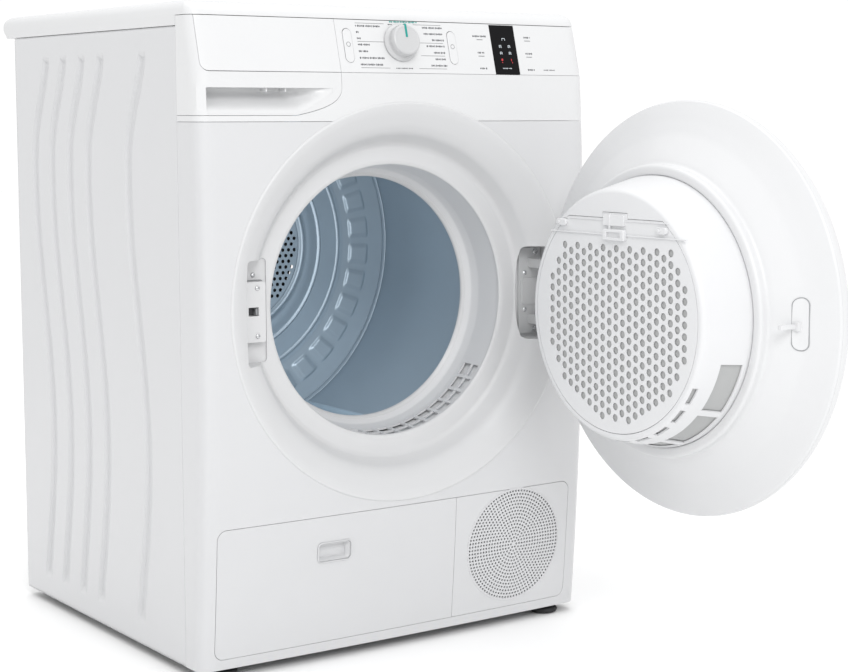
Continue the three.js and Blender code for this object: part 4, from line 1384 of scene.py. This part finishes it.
    def display_marks(self, make: Make) -> None:
        """Print the small signs of the display.

        Args:
            make: Where they are built.
        """
        white = [(167.0, 812.0, 4.4, 0.8), (164.6, 810.6, 0.8, 3.0), (169.4, 810.6, 0.8, 3.0)]
        for x in (160.0, 175.0):
            for z in (801.0, 792.0):
                white += [(x - 1.5, z, 0.9, 3.6), (x + 1.5, z, 0.9, 3.6)]
                white += [(x, z + 1.6, 2.4, 0.8), (x, z - 0.6, 2.4, 0.7)]
        white += self.word(159.0, 771.5, 15.0, 1.5, 2)
        red = [(160.0, 783.0, 3.2, 3.6), (160.0, 779.4, 1.6, 1.2)]
        red += [(175.6, 783.0, 1.2, 3.4), (176.8, 779.6, 1.0, 2.2)]
        self.print_on(make, "display_signs", white, ICON_WHITE, 0.1)
        self.print_on(make, "display_warning", red, ICON_RED, 0.1)


# ---- door opening -----------------------------------------------------------------------------


def sector(outer: float, inner: float, start: float, stop: float, steps: int) -> Loop:
    """Outline of a piece of a ring about the middle of the door opening."""
    return arc(*EYE, outer, start, stop, steps) + arc(*EYE, inner, stop, start, steps)


@dataclass(frozen=True)
class Opening:
    """The dished surround, the throat behind it, the latch and the hinge bracket."""

    rim: float = 261.0
    step: float = 210.0
    floor: float = 182.5
    deep: float = 46.0
    latch: Rect = (-236.0, -188.0, 396.0, 529.0)
    latch_face: float = 34.2
    hinge: Rect = (206.0, 253.0, 399.0, 528.0)
    bracket_face: float = 42.6
    window_pitch: float = 7.2
    windows: int = 16

    def profile(self) -> Loop:
        """Section of the dish from its rim to its floor.

        Returns:
            Radius and depth below the front.
        """
        line = [(self.rim, 3.4), (self.rim, 0.2), (252.0, 3.2), (232.0, 13.0), (222.5, 20.0),
                (215.0, 35.0), (211.5, 41.5), (206.0, self.deep), (186.0, self.deep),
                (self.floor, 47.2), (self.floor, 49.0)]
        return filleted(line, 6.0, closed=False, steps=5)

    def follow(self, p: Point3) -> Point3:
        """Bend the dish's rim to the bowed front.

        Args:
            p: A point of the flat dish.

        Returns:
            The bent point.
        """
        x, d, z = p
        r = math.hypot(x - EYE[0], z - EYE[1])
        share = min(1.0, max(0.0, (r - self.step) / (self.rim - self.step)))
        return (x, d + share * FRONT.depth(x, z) if d < 55 else d, z)

    def build(self, frame: Frame) -> None:
        """Build the whole door opening.

        Args:
            frame: The shared frame.
        """
        make = Make(frame, "cabinet")
        shell = lathe(self.profile(), EYE, SIDES, closed=False).moved(self.follow)
        dish = make.piece("dish_shell", shell, DISH_PLASTIC, ["dish_ring"], thick=2.2)
        outline = [*self.profile(), (self.floor, 60.0), (self.rim, 60.0)]
        for name, (x0, x1, z0, z1) in (("latch", self.latch), ("hinge", self.hinge)):
            hole = rounded(x0, x1, z0, z1, 5.0)
            make.cut(dish, prism(hole, -20.0, self.deep - 0.02))
            wall = rounded(x0 - 2, x1 + 2, z0 - 2, z1 + 2, 7.0)
            tray = prism(wall, -20.0, self.deep + 2.0)
            box = make.piece(f"{name}_tray", tray, DISH_PLASTIC)
            make.cut(box, lathe(outline, EYE, SIDES).moved(self.follow), Join.KEEP_INSIDE)
            make.cut(box, prism(hole, -30.0, self.deep))
            shade(box, SMOOTH_ANGLE)
        shade(dish, SMOOTH_ANGLE)
        self.throat(make)
        self.latch_parts(make, frame)
        self.hinge_parts(make, frame)
        spots = ((3, 661), (186, 530), (170, 362), (19, 264), (-172, 362), (-150, 600))
        make.screws("dish_screws", [(x, self.deep, z, 3.6) for x, z in spots])

    def throat(self, make: Make) -> None:
        """Build the funnel into the drum with its barred air windows.

        Args:
            make: Where it is built.
        """
        line = [(192.0, 49.3), (182.4, 49.3), (181.6, 54.0), (178.6, 92.0), (174.5, 104.0), (164.2, 113.3),
                (166.4, 113.4), (176.8, 105.6), (181.0, 93.0), (184.4, 51.4), (192.0, 51.4)]
        shell = lathe(filleted(line, 2.2), EYE, SIDES)
        funnel = make.piece("throat_shell", shell, MOULDED, ["throat_funnel"])
        windows = Shape()
        for k in range(self.windows):
            middle = -33.0 - self.window_pitch * (k + 0.5)
            for d0, d1 in ((54.0, 67.4), (70.0, 85.0)):
                windows.add(prism(sector(196.0, 170.0, middle - 2.9, middle + 2.9, 3), d0, d1))
        make.cut(funnel, windows)
        shade(funnel, SMOOTH_ANGLE)
        lip = [(163.8, 112.6), (168.0, 109.4), (170.0, 112.0), (166.0, 117.0), (163.0, 116.0)]
        make.piece("throat_lip", lathe(filleted(lip, 1.2), EYE, SIDES), DISH_PLASTIC)
        duct = lathe([(187.6, 52.5), (189.6, 52.5), (186.4, 90.0), (184.4, 90.0)], EYE, 96)
        make.piece("throat_duct", duct, MOULDED)

    def latch_parts(self, make: Make, frame: Frame) -> None:
        """Build the latch plate and its sprung catch.

        Args:
            make: Where the plate is built.
            frame: The shared frame.
        """
        plate = prism(rounded(-222.0, -194.0, 423.0, 500.0, 2.5), self.latch_face, 45.8)
        face = make.piece("latch_face", plate, DISH_PLASTIC, ["latch_plate"])
        make.cut(face, prism(rounded(-218.5, -204.0, 456.6, 467.6, 0.6), 30.0, 44.0))
        soften(face, 0.5, SOFT_ANGLE)
        face.data.shade_smooth()
        # Painted shade: a near-black block at the bottom of the latch slot stands in for the shadow inside
        # it.
        dark = block((-218.3, -204.2), (43.2, 43.9), (456.8, 467.4))
        make.piece("latch_slot_painted_shade", dark, SLOT_PAINTED_SHADE, edge=0.1)
        frame_line = ring_between(
            rounded(-223.6, -192.4, 421.4, 501.6, 3.5),
            rounded(-222.8, -193.2, 422.2, 500.8, 3.0),
            lambda x, z: self.deep - 0.5,
        )
        make.piece("latch_outline", frame_line, GREY_PLASTIC, thick=0.6)
        spots = ((self.deep, 508.0), (self.latch_face, 492.0), (self.latch_face, 431.0))
        make.screws("latch_screws", [(-206.0, d, z, 3.1) for d, z in spots])
        catch = Make(frame, "latch_catch")
        bolt = [(-206.8, 37.2), (-200.2, 37.2), (-200.2, 43.0), (-206.8, 43.0), (-208.0, 41.4)]
        body = prism(bolt, 457.8, 466.2).tipped()
        catch.piece("latch_bolt", body, ZINC, ["latch_catch"], edge=0.4)

    def hinge_parts(self, make: Make, frame: Frame) -> None:
        """Build the hinge bracket with its pin.

        Args:
            make: Where it is built.
            frame: The shared frame.
        """
        px, pd, _ = frame.joint("door_hinge")
        plate = prism(rounded(212.0, 249.0, 404.0, 524.0, 3.0), self.bracket_face, 45.6)
        made = make.piece("hinge_plate", plate, HINGE_GREY, ["hinge_bracket"])
        raised = prism(rounded(217.0, 243.0, 445.0, 482.0, 4.0), 40.4, 43.0)
        make.cut(made, raised, Join.ADD)
        soften(made, 0.6, SOFT_ANGLE)
        arms = Shape()
        for z in HINGE_ARMS:
            outline = [(228.4, 43.6), (235.4, 43.6), (235.4, pd + 7), (px, pd + 5.6), (px + 3.8, pd + 4.0),
                       (px + 5.6, pd), (px + 3.8, pd - 4.0), (px, pd - 5.6), (228.4, pd - 2.0)]
            arms.add(prism(outline, z - 6.5, z + 6.5).tipped())
        make.piece("hinge_arms", arms, HINGE_GREY, edge=1.0, angle=25.0)
        spots = ((240.0, 410.0, 4.2), (240.0, 518.0, 4.2), (222.0, 438.0, 3.2), (222.0, 489.0, 3.2))
        make.screws("hinge_screws", [(x, self.bracket_face, z, r) for x, z, r in spots])
        pin = [(0.0, 414.2), (2.8, 414.4), (2.8, 509.4), (4.6, 509.8), (4.6, 511.4), (3.4, 512.6),
               (0.0, 512.8)]
        make.piece("hinge_pin_rod", turned_up(pin, px, pd, 32), SHINY, ["hinge_pin"])


# ---- drum -------------------------------------------------------------------------------------


@dataclass(frozen=True)
class Drum:
    """The steel drum: shell, pressed and perforated rear wall, lifters."""

    r: float = 284.0
    sieve: float = 124.0
    pitch: float = 10.2
    panels: int = 36
    end: float = 508.0
    cone: float = 215.0
    sectors: int = 432
    rings: int = 110
    lifter_turns: Point3 = (45.0, 165.0, 285.0)

    def rear_depth(self, r: float, a: float) -> float:
        """Depth of the rear wall with its beads and pressed panels.

        Args:
            r: Radius.
            a: Angle.

        Returns:
            Depth.
        """
        line = [(0.0, 500.0), (self.sieve, 500.0), (146.0, 510.0), (172.0, 515.0), (214.0, 515.0),
                (281.6, 501.0)]
        for (r0, d0), (r1, d1) in zip(line, line[1:]):
            if r <= r1:
                share = (r - r0) / (r1 - r0)
                base = d0 + (d1 - d0) * (smooth(share) if r1 < self.cone else share)
                break
        else:
            base = line[-1][1]
        for middle, wide, tall in ((131.0, 7.0, 6.0), (169.5, 3.5, 2.4), (205.0, 3.0, 1.8)):
            base -= tall * smooth(1 - abs(r - middle) / wide)
        share = abs((a / TAU * self.panels) % 1.0 - 0.5)
        across = smooth((0.36 - share) * 12)
        along = smooth((r - 224.0) / 4.0) * smooth((256.0 - r) / 4.0)
        return base - 2.4 * across * along

    def build(self, frame: Frame) -> None:
        """Build the drum.

        Args:
            frame: The shared frame.
        """
        make = Make(frame, "drum")
        x, _, z = frame.joint("drum_spin")
        r = self.r
        shell = [(238.2, 124.2), (274.0, 124.0), (281.0, 126.0), (283.8, 131.0), (r, 138.0), (r, self.end),
                 (r - 1.4, self.end), (r - 1.4, 139.0), (281.6, 132.6), (274.0, 125.8), (240.4, 125.8)]
        for d in (168.0, 300.0, 440.0):
            at = shell.index((r, self.end))
            shell[at:at] = [(r, d - 3), (r - 0.8, d), (r, d + 3)]
        make.piece("drum_cylinder", lathe(filleted(shell, 1.2), (x, z), 256), DRUM_STEEL, ["drum_shell"])
        radii = [self.sieve + (281.8 - self.sieve) * k / self.rings for k in range(self.rings + 1)]

        def at_wall(i: int, j: int) -> Point3:
            a = TAU * i / self.sectors
            return (x + radii[j] * math.cos(a), self.rear_depth(radii[j], a), z + radii[j] * math.sin(a))

        wall = grid(self.sectors, self.rings + 1, at_wall, True)
        make.piece("drum_rear_pressing", wall, DRUM_STEEL, ["drum_back"], thick=-1.0, angle=50.0)
        holes = []
        for i in range(-16, 17):
            for j in range(-16, 17):
                hx, hz = self.pitch * (i + 0.5 * (j % 2)), self.pitch * j * math.sqrt(0.75)
                if 30.0 < math.hypot(hx, hz) < self.sieve - 5.0:
                    holes.append(circle(x + hx, z + hz, 2.9, 10))
        sieve = filled(circle(x, z, self.sieve + 0.4, 144), holes, 0.0, lambda u, v: (u, 500.2, v))
        make.piece("drum_sieve", sieve, DRUM_STEEL, thick=1.0, edge=0.3)
        hub = [(0.0, 494.5), (20.0, 495.5), (28.0, 500.0), (28.0, 503.0), (11.2, 503.0),
               (11.2, 556.0), (0.0, 556.0)]
        make.piece("drum_hub", lathe(filleted(hub, 2.0), (x, z), 64), SHINY)
        # Painted shade: a thin black disc behind the sieve, seen through its holes as dark.
        shade_disc_line = [(0.0, 520.0), (128.0, 520.0), (128.0, 521.0), (0.0, 521.0)]
        make.piece("drum_painted_shade_disc", lathe(shade_disc_line, (x, z), 64), BLACK_PLASTIC_AND_SHADE)
        self.seam(make, x, z)
        for k, turn in enumerate(self.lifter_turns, 1):
            self.lifter(make, k, turn, x, z)

    def seam(self, make: Make, x: float, z: float) -> None:
        """Fold the sheet's long seam and the rolled joint at the rear.

        Args:
            make: Where it is built.
            x: Drum axis.
            z: Drum axis.
        """
        a = math.radians(105.0)
        r = self.r - 1.6
        fold = Shape()
        for side in (-1, 1):
            b = a + side * 0.012
            px, pz = x + r * math.cos(b), z + r * math.sin(b)
            fold.add(lathe([(0.0, 150.0), (0.9, 151.0), (0.9, 494.0), (0.0, 495.0)], (px, pz), 8))
        make.piece("drum_seam", fold, DRUM_STEEL)
        bead = filleted([(r - 3.2, 497.0), (r + 0.2, 493.0), (r + 0.2, 500.0), (r - 3.2, 500.5)], 1.6)
        make.piece("drum_rolled_joint", lathe(bead, (x, z), 256), DRUM_STEEL)

    def lifter(self, make: Make, index: int, turn: float, x: float, z: float) -> None:
        """Build one hollow lifter rib.

        Args:
            make: Where it is built.
            index: Its number.
            turn: Its angle in degrees.
            x: Drum axis.
            z: Drum axis.
        """
        inner = self.r - 3.1
        half = [(0.0, -46.0), (7.5, -43.5), (12.0, -34.0), (19.0, -18.0), (26.0, -8.0), (34.0, -3.4)]
        section = [(w, inner + h) for w, h in half] + [(20.0, inner - 0.9), (0.0, inner - 0.6)]
        section += [(-w, h) for w, h in reversed(section[1:-1])]
        section = filleted(section, 3.0)
        a = math.radians(turn)
        loops = []
        for k in range(17):
            t = k / 16
            end = min(1.0, min(t, 1 - t) * 9)
            tall = 0.62 + 0.38 * math.sin(end * math.pi / 2)
            d = 150.0 + 320.0 * t
            loop = []
            for w, h in section:
                out = inner - (inner - h) * tall
                wide = w * (0.8 + 0.2 * tall)
                px = x + out * math.cos(a) - wide * math.sin(a)
                pz = z + out * math.sin(a) + wide * math.cos(a)
                loop.append((px, d, pz))
            loops.append(loop)
        whole = stacked(loops)
        rib = make.piece(f"lifter_rib_{index}", whole, LIFTER_PLASTIC, [f"lifter_{index}"], edge=1.4)
        rib.data.shade_smooth()


# ---- door -------------------------------------------------------------------------------------


@dataclass(frozen=True)
class Door:
    """The door, built shut in place and then swung open about its hinge."""

    rim: float = 265.0
    plug: float = 171.0
    face: float = 153.0
    deep: float = 110.0
    plate: float = 147.0
    bar_foot: float = 563.0
    bar_top: float = 583.0
    tab_top: float = 590.0
    grip: Rect = (-258.0, -226.0, 422.0, 505.0)

    def inner_line(self) -> Loop:
        """Section of the inner face from the rim to the plug's step.

        Returns:
            Radius and depth.
        """
        line = [(self.rim - 0.4, -10.4), (263.4, -7.6), (240.0, 0.5), (222.0, 8.0), (204.0, 19.5),
                (192.0, 27.0), (184.6, 30.5), (184.5, 43.0), (171.1, 43.0), (171.1, 36.0)]
        return filleted(line, 5.0, closed=False, steps=5)

    def inner_depth(self, x: float, z: float) -> float:
        """Depth of the slanted inner face.

        Args:
            x: To the right.
            z: Height.

        Returns:
            Depth.
        """
        r = math.hypot(x - EYE[0], z - EYE[1])
        knots = [(204.0, 19.5), (222.0, 8.0), (240.0, 0.5), (264.0, -8.0)]
        for (r0, d0), (r1, d1) in zip(knots, knots[1:]):
            if r <= r1:
                return d0 + (d1 - d0) * (r - r0) / (r1 - r0)
        return knots[-1][1]

    def build(self, frame: Frame) -> None:
        """Build the door and its filter.

        Args:
            frame: The shared frame.
        """
        turn = frame.door_matrix()
        make = Make(frame, "door", turn)
        self.panels(make)
        self.housing(make)
        self.cover(Make(frame, "filter_cover", turn))
        self.hook(make)
        self.hinge(make, frame)

    def panels(self, make: Make) -> None:
        """Build the outer ring, the round outer panel and the inner panel.

        Args:
            make: Where they are built.
        """
        outer = [(178.4, -44.9), (212.0, -44.6), (240.0, -39.5), (257.0, -31.0), (self.rim, -19.0),
                 (self.rim, -10.6), (self.rim - 2.2, -10.6), (self.rim - 2.5, -18.2), (255.0, -28.8),
                 (239.0, -36.8), (211.5, -41.9), (178.4, -42.4)]
        hoop = lathe(filleted(outer, 7.0), EYE, SIDES)
        ring = make.piece("door_ring", hoop, FASCIA_WHITE, ["door_trim_ring"])
        grip = rounded(*self.grip, 15.0)
        make.cut(ring, prism(grip, -70.0, 0.0))
        cup = prism(rounded(-260.0, -224.0, 420.0, 507.0, 16.5), -50.0, -31.2)
        bowl = make.piece("door_grip", cup, FASCIA_WHITE)
        solid_ring = [*outer[:6], (178.4, -10.4)]
        make.cut(bowl, lathe(filleted(solid_ring, 7.0), EYE, SIDES), Join.KEEP_INSIDE)
        make.cut(bowl, prism(grip, -70.0, -33.2))
        shade(ring, SMOOTH_ANGLE)
        shade(bowl, SMOOTH_ANGLE)
        disc = [(0.0, -33.0), (60.0, -34.0), (165.0, -41.5), (177.4, -43.6), (177.4, -40.6), (165.0, -38.5),
                (60.0, -31.2), (0.0, -30.2)]
        make.piece("door_lens", lathe(filleted(disc, 9.0), EYE, SIDES), FASCIA_WHITE, ["door_disc"])
        band = filleted([(184.0, -46.6), (187.0, -46.6), (187.4, -44.2), (183.6, -44.2)], 0.8)
        make.piece("door_hoop", lathe(band, EYE, SIDES), SHINY)
        line = self.inner_line()
        inside = [(171.1, 27.0), (181.6, 27.6), (202.6, 16.2), (221.0, 5.2), (239.0, -2.2), (262.4, -10.4)]
        liner = lathe([*line, *inside], EYE, SIDES)
        inner = make.piece("door_liner", liner, DOOR_WHITE, ["door_inner_panel"])
        for z in HINGE_ARMS:
            make.cut(inner, block((225.0, 275.0), (-15.0, 50.0), (z - 8.0, z + 8.0)))
        shade(inner, SMOOTH_ANGLE)

    def plug_line(self, d: float) -> float:
        """Radius of the plug's cone at a depth."""
        return self.plug + (158.0 - self.plug) * (d - 46.0) / 54.0

    def housing(self, make: Make) -> None:
        """Build the barred filter housing.

        Args:
            make: Where it is built.
        """
        base, end = self.plug, self.deep
        line = [(base, 14.0), (base, 46.0), (self.plug_line(100.0), 100.0), (156.4, 106.0),
                (self.face, end), (60.0, end), (60.0, end - 2.2), (152.0, end - 2.2), (155.8, 99.0),
                (base - 2.2, 46.0), (base - 2.2, 14.0)]
        shell = make.piece("plug_shell", lathe(filleted(line, 2.4), EYE, SIDES), MOULDED, ["filter_housing"])
        make.cut(shell, prism(self.plate_outline(0.6), 100.0, 130.0))
        windows = Shape()
        for start, stop in ((-163, -139), (-136, -112), (-109, -85), (-82, -58), (-55, -17)):
            windows.add(prism(sector(190.0, 120.0, start, stop, 10), 49.5, 79.5))
        for k in range(9):
            start = -151.0 + 13.0 * k
            windows.add(prism(sector(170.0, 153.6, start, start + 9, 5), 99.0, 106.5))
        make.cut(shell, windows)
        shade(shell, SMOOTH_ANGLE)
        felt = [(166.0, 47.6), (167.4, 47.6), (159.0, 82.4), (157.6, 82.4)]
        make.piece("plug_gauze", lathe(felt, EYE, 144), GAUZE)
        ring = [(154.2, 97.0), (155.0, 97.0), (153.0, 107.2), (152.2, 107.2)]
        make.piece("plug_slot_gauze", lathe(ring, EYE, 144), GAUZE)
        sieve = prism(arc(*EYE, 137.0, -223.0, 43.0, 90), 107.3, 107.8)
        make.piece("lint_gauze", sieve, GAUZE, ["lint_filter"])
        ribs = Shape()
        for k in range(-3, 4):
            ribs.add(block((k * 36.0 - 1.4, k * 36.0 + 1.4), (99.0, 103.9), (EYE[1] - 88.0, EYE[1] + 88.0)))
        make.piece("lint_ribs", ribs, CLEAR, edge=0.5)

    def plate_outline(self, grow: float) -> Loop:
        """Outline of the hinged filter cover with its tab.

        Args:
            grow: Distance outside.

        Returns:
            The closed loop.
        """
        r = self.plate + grow
        top = self.bar_top + grow
        a = math.degrees(math.asin((top - EYE[1]) / r))
        bottom = arc(*EYE, r, -180 - a, a, 120)
        tab = self.tab_top + grow
        return [*bottom, (21.0 + grow, top), (21.0 + grow, tab), (-23.0 - grow, tab), (-23.0 - grow, top)]

    def cover(self, make: Make) -> None:
        """Build the perforated filter cover.

        Args:
            make: Where it is built.
        """
        holes = []
        for i in range(-11, 12):
            for j in range(-11, 12):
                x = -3.5 + 12.1 * i
                z = 462.0 + 14.0 * (j + 0.5 * (i % 2))
                if math.hypot(x + 3.5, z - EYE[1]) < 130.0 and z < self.bar_foot - 12.0:
                    holes.append(circle(x, z, 4.75, 12))
        sheet = filled(divided(self.plate_outline(0.0), 8.0), holes, 0.0, lambda u, v: (u, 110.2, v))
        make.piece("cover_plate", sheet, MOULDED, ["filter_cover"], thick=-1.8, edge=0.4)
        z0, z1 = self.bar_foot, self.bar_top
        trim = prism(rounded(-128.0, 118.0, z0 - 0.9, z0 + 0.9, 0.8), 109.4, 112.2)
        trim.add(prism(rounded(-96.0, 96.0, z1 - 3.0, z1 - 1.6, 0.6), 109.4, 111.4))
        make.piece("cover_ridges", trim, MOULDED, edge=0.4)
        boss = prism(rounded(-23.0, 16.0, 556.0, 570.0, 3.0), 109.6, 116.0)
        piece = make.piece("cover_catch", boss, MOULDED, edge=1.2)
        make.cut(piece, block((-16.0, 9.0), (113.0, 120.0), (560.0, 566.4)))
        soften(piece, 0.4, SOFT_ANGLE)
        tab = prism(rounded(-20.0, 18.0, 574.0, 588.0, 2.0), 109.6, 113.4)
        tab.add(prism(rounded(4.6, 6.4, 566.0, 589.0, 0.7), 109.6, 114.4))
        make.piece("cover_tab", tab, MOULDED, edge=0.7)
        knuckles = Shape()
        for x, z in ((96.0, 575.0), (-87.0, 572.0)):
            loop = rounded(x - 9.0, x + 9.0, z - 4.4, z + 4.4, 3.8)
            knuckles.add(prism(loop, 108.2, 114.6))
            knuckles.add(lathe([(0.0, 114.4), (2.4, 114.4), (2.4, 116.4), (0.0, 116.4)], (x + 3.0, z), 20))
        make.piece("cover_knuckles", knuckles, MOULDED, edge=0.9)

    def hook(self, make: Make) -> None:
        """Build the latch hook and its plate on the slanted face.

        Args:
            make: Where it is built.
        """
        loop = rounded(-226.6, -209.4, 433.6, 495.4, 8.4)
        groove = ring_between(
            rounded(-227.6, -208.4, 432.6, 496.4, 9.4, 12),
            rounded(-226.8, -209.2, 433.4, 495.6, 8.6, 12),
            lambda x, z: self.inner_depth(x, z) + 0.35,
        )
        make.piece("hook_outline", groove, CASING, thick=-0.4)
        plate = filled(divided(loop, 4.0), [], 4.0, lambda u, v: (u, self.inner_depth(u, v) + 0.9, v))
        made = make.piece(
            "hook_plate", plate, DOOR_WHITE, ["door_hook"], thick=-1.4, edge=0.5, angle=SOFT_ANGLE
        )
        made.data.shade_smooth()
        line = [(-216.0, 13.1), (-212.0, 14.0), (-212.0, 34.6), (-208.0, 36.4), (-208.0, 39.4),
                (-211.0, 41.2), (-216.0, 41.2)]
        hook = prism(filleted(line, 1.0), 459.2, 464.8).tipped()
        hook.add(block((-219.0, -209.6), (8.0, 16.6), (456.4, 467.6)))
        make.piece("hook_nose", hook, DOOR_WHITE, edge=0.6)

    def hinge(self, make: Make, frame: Frame) -> None:
        """Build the door's hinge leaf.

        Args:
            make: Where it is built.
            frame: The shared frame.
        """
        x, d, _ = frame.joint("door_hinge")
        z0, z1 = 431.2, 495.8
        tube = [(3.2, z0), (6.0, z0), (6.0, z1), (3.2, z1)]
        make.piece("hinge_knuckle", turned_up(tube, x, d, 32), HINGE_GREY, ["hinge_leaf"], edge=0.4)
        leaf = prism(rounded(205.0, x - 3.6, z0 + 0.4, z1 - 0.4, 3.0), d - 6.0, d - 2.2)
        make.piece("hinge_leaf_plate", leaf, HINGE_GREY, edge=0.6)
        spots = [(px, d - 2.2, pz, 3.4) for px, pz in ((212.0, 440.0), (212.0, 487.0), (232.0, EYE[1]))]
        make.screws("hinge_leaf_screws", spots, Facing.BACK)


# ---- what the CAD already shows ---------------------------------------------------------------


@dataclass(frozen=True)
class Interior:
    """Finishes and soft edges for the CAD nodes that stay as they are."""

    edge: float = 0.5

    def dress(self, frame: Frame) -> None:
        """Give every kept CAD node its finish and rounded edges.

        Args:
            frame: The shared frame.
        """
        finishes = {
            "base_tray": GREY_PLASTIC, "control_board": BOARD, "water_tank": CLEAR, "front_shield": ZINC,
            "front_felt_seal": FELT, "rear_bearing": ZINC, "drive_belt": RUBBER,
            "front_roller_left": GREY_RUBBER, "front_roller_right": GREY_RUBBER, "motor": MOTOR,
            "motor_pulley": SHINY, "cooling_fan": BLACK_PLASTIC_AND_SHADE,
            "process_fan": BLACK_PLASTIC_AND_SHADE, "fan_housing": CASING, "tensioner_arm": ZINC,
            "tensioner_pulley": BLACK_PLASTIC_AND_SHADE, "heat_exchanger": CASING, "condenser_lever_1": GREY_PLASTIC,
            "condenser_lever_2": GREY_PLASTIC, "drain_pump": BLACK_PLASTIC_AND_SHADE, "power_module": CLEAR,
        }
        for node, finish in finishes.items():
            kept = frame.nodes[node]
            kept.data.materials.clear()
            kept.data.materials.append(finish.material())
            soften(kept, self.edge, SOFT_ANGLE)
        log.info("dressed %d kept nodes", len(finishes))


# ---- studio -----------------------------------------------------------------------------------


@dataclass(frozen=True)
class Studio:
    """Pale floor, white surroundings, soft lamps and the camera."""

    place: Point3 = (-1.353695, -2.335516, 0.713993)
    yaw: float = 0.635
    pitch: float = 0.101
    lens: float = 79.7
    shift: Point2 = (-0.0941, -0.0407)
    sky: float = 1.05
    floor_half: float = 14.0
    floor_drop: float = 0.0005

    def build(self) -> None:
        """Set the stage."""
        self.floor()
        self.world()
        self.lamp("key_panel", (-1.5, -4.0, 3.0), size=1.8, power=75.0)
        self.lamp("top_panel", (0.2, 0.2, 3.4), size=2.2, power=22.0)
        self.lamp("drum_panel", (0.0, -0.15, 0.5), size=0.24, power=0.9, target=(0.05, 0.3, 0.45))
        self.camera()

    def floor(self) -> None:
        """Lay the floor."""
        mesh = bpy.data.meshes.new("floor")
        half = self.floor_half
        corners = [(-half, -half, 0), (half, -half, 0), (half, half, 0), (-half, half, 0)]
        mesh.from_pydata(corners, [], [(0, 1, 2, 3)])
        floor = bpy.data.objects.new("floor", mesh)
        bpy.context.scene.collection.objects.link(floor)
        floor.location.z = -self.floor_drop
        paper = Finish("floor_paper", "", (0.97, 0.97, 0.97), 0.8, grain=60.0, relief=0.01, mottle=0.01)
        mesh.materials.append(paper.material())

    def world(self) -> None:
        """Surround the scene with soft white light."""
        world = bpy.data.worlds.new("studio")
        bpy.context.scene.world = world
        world.use_nodes = True
        sky = world.node_tree.nodes["Background"]
        sky.inputs["Color"].default_value = (1.0, 1.0, 1.0, 1.0)
        sky.inputs["Strength"].default_value = self.sky
        view = bpy.context.scene.view_settings
        view.view_transform = "Standard"
        view.look = "None"

    def lamp(
        self,
        name: str,
        place: Point3,
        size: float,
        power: float,
        target: Point3 = (0.0, -0.1, 0.45),
    ) -> None:
        """Hang one square soft lamp that faces the machine.

        Args:
            name: Lamp name.
            place: Where it hangs.
            size: Side of the square in metres.
            power: Watts.
            target: Point it faces.
        """
        data = bpy.data.lights.new(name, "AREA")
        data.size = size
        data.energy = power
        lamp = bpy.data.objects.new(name, data)
        lamp.location = place
        aim = Vector(target) - Vector(place)
        lamp.rotation_euler = aim.to_track_quat("-Z", "Y").to_euler()
        bpy.context.scene.collection.objects.link(lamp)

    def camera(self) -> None:
        """Set the camera at the wanted angle."""
        data = bpy.data.cameras.new("camera")
        data.lens = self.lens
        data.shift_x, data.shift_y = self.shift
        eye = bpy.data.objects.new("camera", data)
        eye.location = self.place
        eye.rotation_euler = (math.pi / 2 - self.pitch, 0.0, -self.yaw)
        bpy.context.scene.collection.objects.link(eye)
        bpy.context.scene.camera = eye


def main() -> None:
    """Build the dryer in order."""
    logging.basicConfig(level=logging.INFO, format="%(name)s: %(message)s")
    frame = Frame()
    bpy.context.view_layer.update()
    skins = Skins()
    steps = {
        "front mouldings": lambda: skins.build(frame),
        "water tank front": lambda: Tank().build(frame, skins),
        "controls": lambda: Controls().build(frame, skins),
        "cabinet": lambda: Cabinet().build(frame),
        "door opening": lambda: Opening().build(frame),
        "drum": lambda: Drum().build(frame),
        "door": lambda: Door().build(frame),
        "kept parts": lambda: Interior().dress(frame),
        "studio": lambda: Studio().build(),
    }
    for name, step in steps.items():
        step()
        log.info("built the %s", name)


if __name__ == "__main__":
    main()
